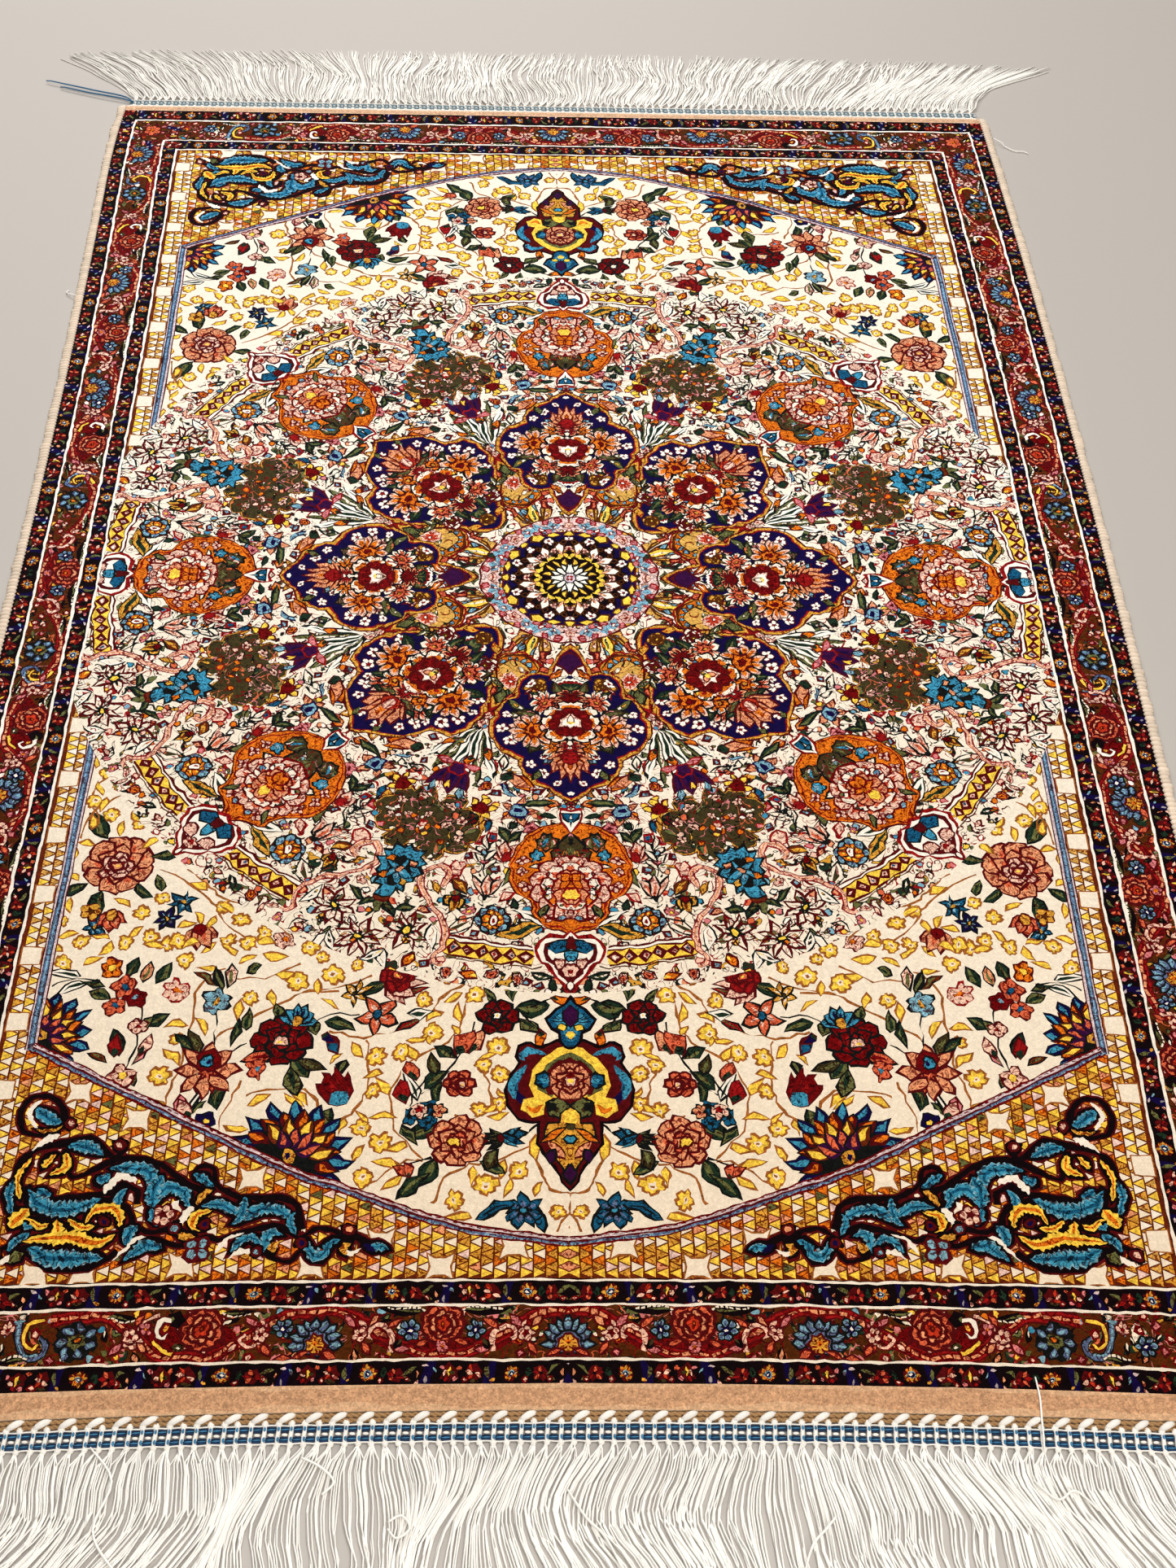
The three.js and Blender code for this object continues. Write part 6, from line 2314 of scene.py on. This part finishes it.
def twined_band(name, rows, top, foot, outward, blue, wrap):
    """rows are the plan's y of the blue rows; outward is -1 at the near end and 1 at the far end."""
    white, dark, light = [], [], []
    random.seed(name)
    for i, x in enumerate(posts):
        x += random.uniform(-0.35, 0.35)
        route = []
        for k in range(7):
            y = top + (foot - top) * k / 6
            pinch = min(abs(y - row) for row in rows)
            route.append(laid(x + 0.25 * math.sin(k), y, 1.4 + 0.5 * min(1, pinch / 2.5)))
        white.append(thread(route, 0.00155, 6, 0.3))
        white.append(knot_or_pellet(laid(x, top - outward * 0.2, 1.7), 0.0027, 0.0025, 0.0015))
        white.append(knot_or_pellet(laid(x, foot, 1.7), 0.0022, 0.0024, 0.0015))
        between = laid(x + post_pitch / 2, sum(rows) / len(rows), 1.5)
        if len(rows) > 1:
            white.append(knot_or_pellet(between, 0.0011, 0.0023, 0.001))
        for row in rows:
            wraps = []
            for k in range(4):
                slant = row + 2.0 * (k / 3 - 0.5) * 1.9
                wraps.append(laid(x + 0.3, slant, 2.2 + 1.1 * math.sin(math.pi * k / 3)))
            light.append(thread(wraps, 0.00082, 4, 0.4))
            floats = [
                laid(x + post_pitch * 0.5 + d, row + 0.25 * math.sin(d), 2.1) for d in (-2.6, 0, 2.6)]
            light.append(thread(floats, 0.00055, 4, 0.4))
    for row in rows:
        for drift, high in ((-1.25, 1.5), (0.0, 1.35), (1.25, 1.5)):
            route, x = [], -488.0
            while x <= 488:
                swell = math.cos(2 * math.pi * (x + 487) / post_pitch)
                route.append(
                    laid(x, row + drift + 0.2 * swell, high + 0.45 * (swell if drift else -swell)))
                x += post_pitch / 3
            dark.append(thread(route, 0.00072, 4))
    for y in (rows[0] - outward * 2.6, rows[-1] + outward * 2.6):
        route, x = [], -488.0
        while x <= 488:
            route.append(laid(x, y + 0.3 * math.sin(x / 3.1), 1.9))
            x += 4
        white.append(thread(route, 0.00055, 4))
    parts = ((f"{name}_posts", white, white_yarn), (f"{name}_rows", dark, blue),
             (f"{name}_wraps", light, wrap))
    return [spun(*part) for part in parts]


for piece in twined_band("near_band", (-780.9, -787.6), -777.2, -791.0, -1, blue_yarn, pale_blue_yarn):
    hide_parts("band_near")
grey_blue_yarn = spun_yarn("grey_blue_cotton", (0.10, 0.18, 0.22), 900, 0.4)
pale_grey_yarn = spun_yarn("pale_grey_cotton", (0.35, 0.45, 0.50), 900, 0.3)
for piece in twined_band("far_band", (761.4, 766.0), 758.8, 769.6, 1, grey_blue_yarn, pale_grey_yarn):
    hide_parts("band_far")

# The fringe is the rug's own warps, white cotton, left loose beyond the last knot of each tuft. They
# fan out to each side, wave, cross one another and end unevenly.
fan = ((-487, -92, -116), (-400, -74, -76), (-300, -54, -44), (-200, -27, -14), (-100, -11, -4),
       (0, 3, 6), (100, 5, 18), (200, 22, 34), (300, 58, 54), (400, 76, 72), (487, 92, 106))


def fanned(x, end):
    """How far the tip of the fringe at x has drifted sideways."""
    for one, two in zip(fan, fan[1:]):
        if x <= two[0]:
            share = max(0, (x - one[0]) / (two[0] - one[0]))
            return one[end] + (two[end] - one[end]) * share
    return fan[-1][end]


def loose_warps(name, root, outward, end, length, wave, scatter, strands=7, steps=12):
    """One end's fringe: each tuft opens below its knot into strands that lie and wave together."""
    made = []
    random.seed(name)
    for x in posts:
        for s in range(strands):
            start = random.uniform(-1.4, 1.4)
            spread = ((s + 0.5) / strands - 0.5) * post_pitch * 1.1 + random.uniform(-0.9, 0.9)
            astray = random.random() < 0.12
            tip = fanned(x + spread, end) + random.uniform(-scatter, scatter) * (2.6 if astray else 1)
            reach = length * random.uniform(0.86, 1.02)
            lift = random.uniform(2.2, 3.2) if astray else random.uniform(0.5, 2.3)
            turn = random.uniform(0, 6)
            route = []
            for k in range(steps + 1):
                t = (k / steps) ** 1.3
                opened = min(1, t * 11)
                field = Vector(((x + spread) / 75, 1.9 * t, outward * 3.3))
                sway = wave * (noise.noise(field) - noise.noise(Vector((field.x, 0, field.z)))) * 2
                sway += 2.2 * noise.noise(field * 3.1) * opened
                across = x + start * (1 - opened) + spread * opened + tip * t**1.35 + sway
                along = root + outward * reach * (t - 0.10 * (tip / 100) ** 2 * t)
                high = 1.9 * (1 - opened) + lift * opened * (1 - 0.5 * t) + 0.25 * math.sin(turn + 9 * t)
                route.append(laid(across, along, max(0.5, high)))
            made.append(thread(route, random.uniform(0.00080, 0.00098), 3, 0.3))
    return made


fringe_yarn = spun_yarn("loose_white_cotton", (1.0, 0.97, 0.91), 500, 0.08, 0.6)
near_fringe = spun("near_fringe", loose_warps("near_fringe", -791.5, -1, 1, 112, 12, 3.5), fringe_yarn)
far_fringe = spun("far_fringe", loose_warps("far_fringe", 770.0, 1, 2, 115, 10, 10), fringe_yarn)
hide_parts("fringe_near")
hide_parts("fringe_far")

# The loose ends are a few white and blue cotton threads that have worked out of the rug's ends and
# edges. They lie curled over the pile, the floor or the fringe.


def loose_end(route, radius=0.0007):
    """One thread that lies along a smooth route of plan places, each with its height."""
    flat = curve([complex(x, y) for x, y, _ in route], fine=5)
    last = len(flat) - 1
    heights = [route[min(i // 5, len(route) - 1)][2] for i in range(last + 1)]
    return thread([laid(p.real, p.imag, z) for p, z in zip(flat, heights)], radius, 5, 0.3)


white_ends = [loose_end(((500, 715, 4), (510, 704, 1.2), (520, 695, 1), (530, 694, 1), (535, 690, 1))),
              loose_end(((309, -744, 4.2), (310, -758, 4.4), (309, -775, 4.8), (308, -792, 3.6))),
              loose_end(((-498, 404, 3), (-505, 407, 2), (-509, 411, 1.2), (-507, 415, 1))),
              loose_end(((-305, -790, 4), (-288, -812, 4.2), (-295, -842, 4), (-280, -865, 3.6),
                         (-262, -880, 3.2)), 0.0009),
              loose_end(((-170, -800, 4), (-158, -806, 4.4), (-148, -816, 4), (-155, -824, 3.8)), 0.0009),
              loose_end(((-112, -842, 3.8), (-104, -838, 4.2), (-98, -846, 4.2), (-106, -852, 3.8),
                         (-112, -846, 3.6)), 0.0009),
              loose_end(((0, -822, 4), (12, -840, 4.2), (24, -852, 4), (35, -872, 3.6)), 0.0009),
              loose_end(((148, -872, 3.8), (154, -856, 4.2), (163, -846, 4.2), (170, -838, 3.8)), 0.0009),
              loose_end(((298, -812, 4), (312, -824, 4.2), (324, -818, 4.2), (337, -830, 3.8)), 0.0009)]
blue_ends = [loose_end(((-486, 766, 3), (-500, 776, 3), (-546, 790, 3.4), (-596, 806, 2.4)), 0.0009),
             loose_end(((-484, 764, 3), (-498, 770, 3.4), (-534, 780, 3), (-576, 794, 2)), 0.0009)]
loose_white = spun("loose_white_ends", white_ends, fringe_yarn)
loose_blue = spun(
    "loose_blue_ends", blue_ends, spun_yarn("loose_blue_cotton", (0.05, 0.16, 0.30), 900, 0.3))
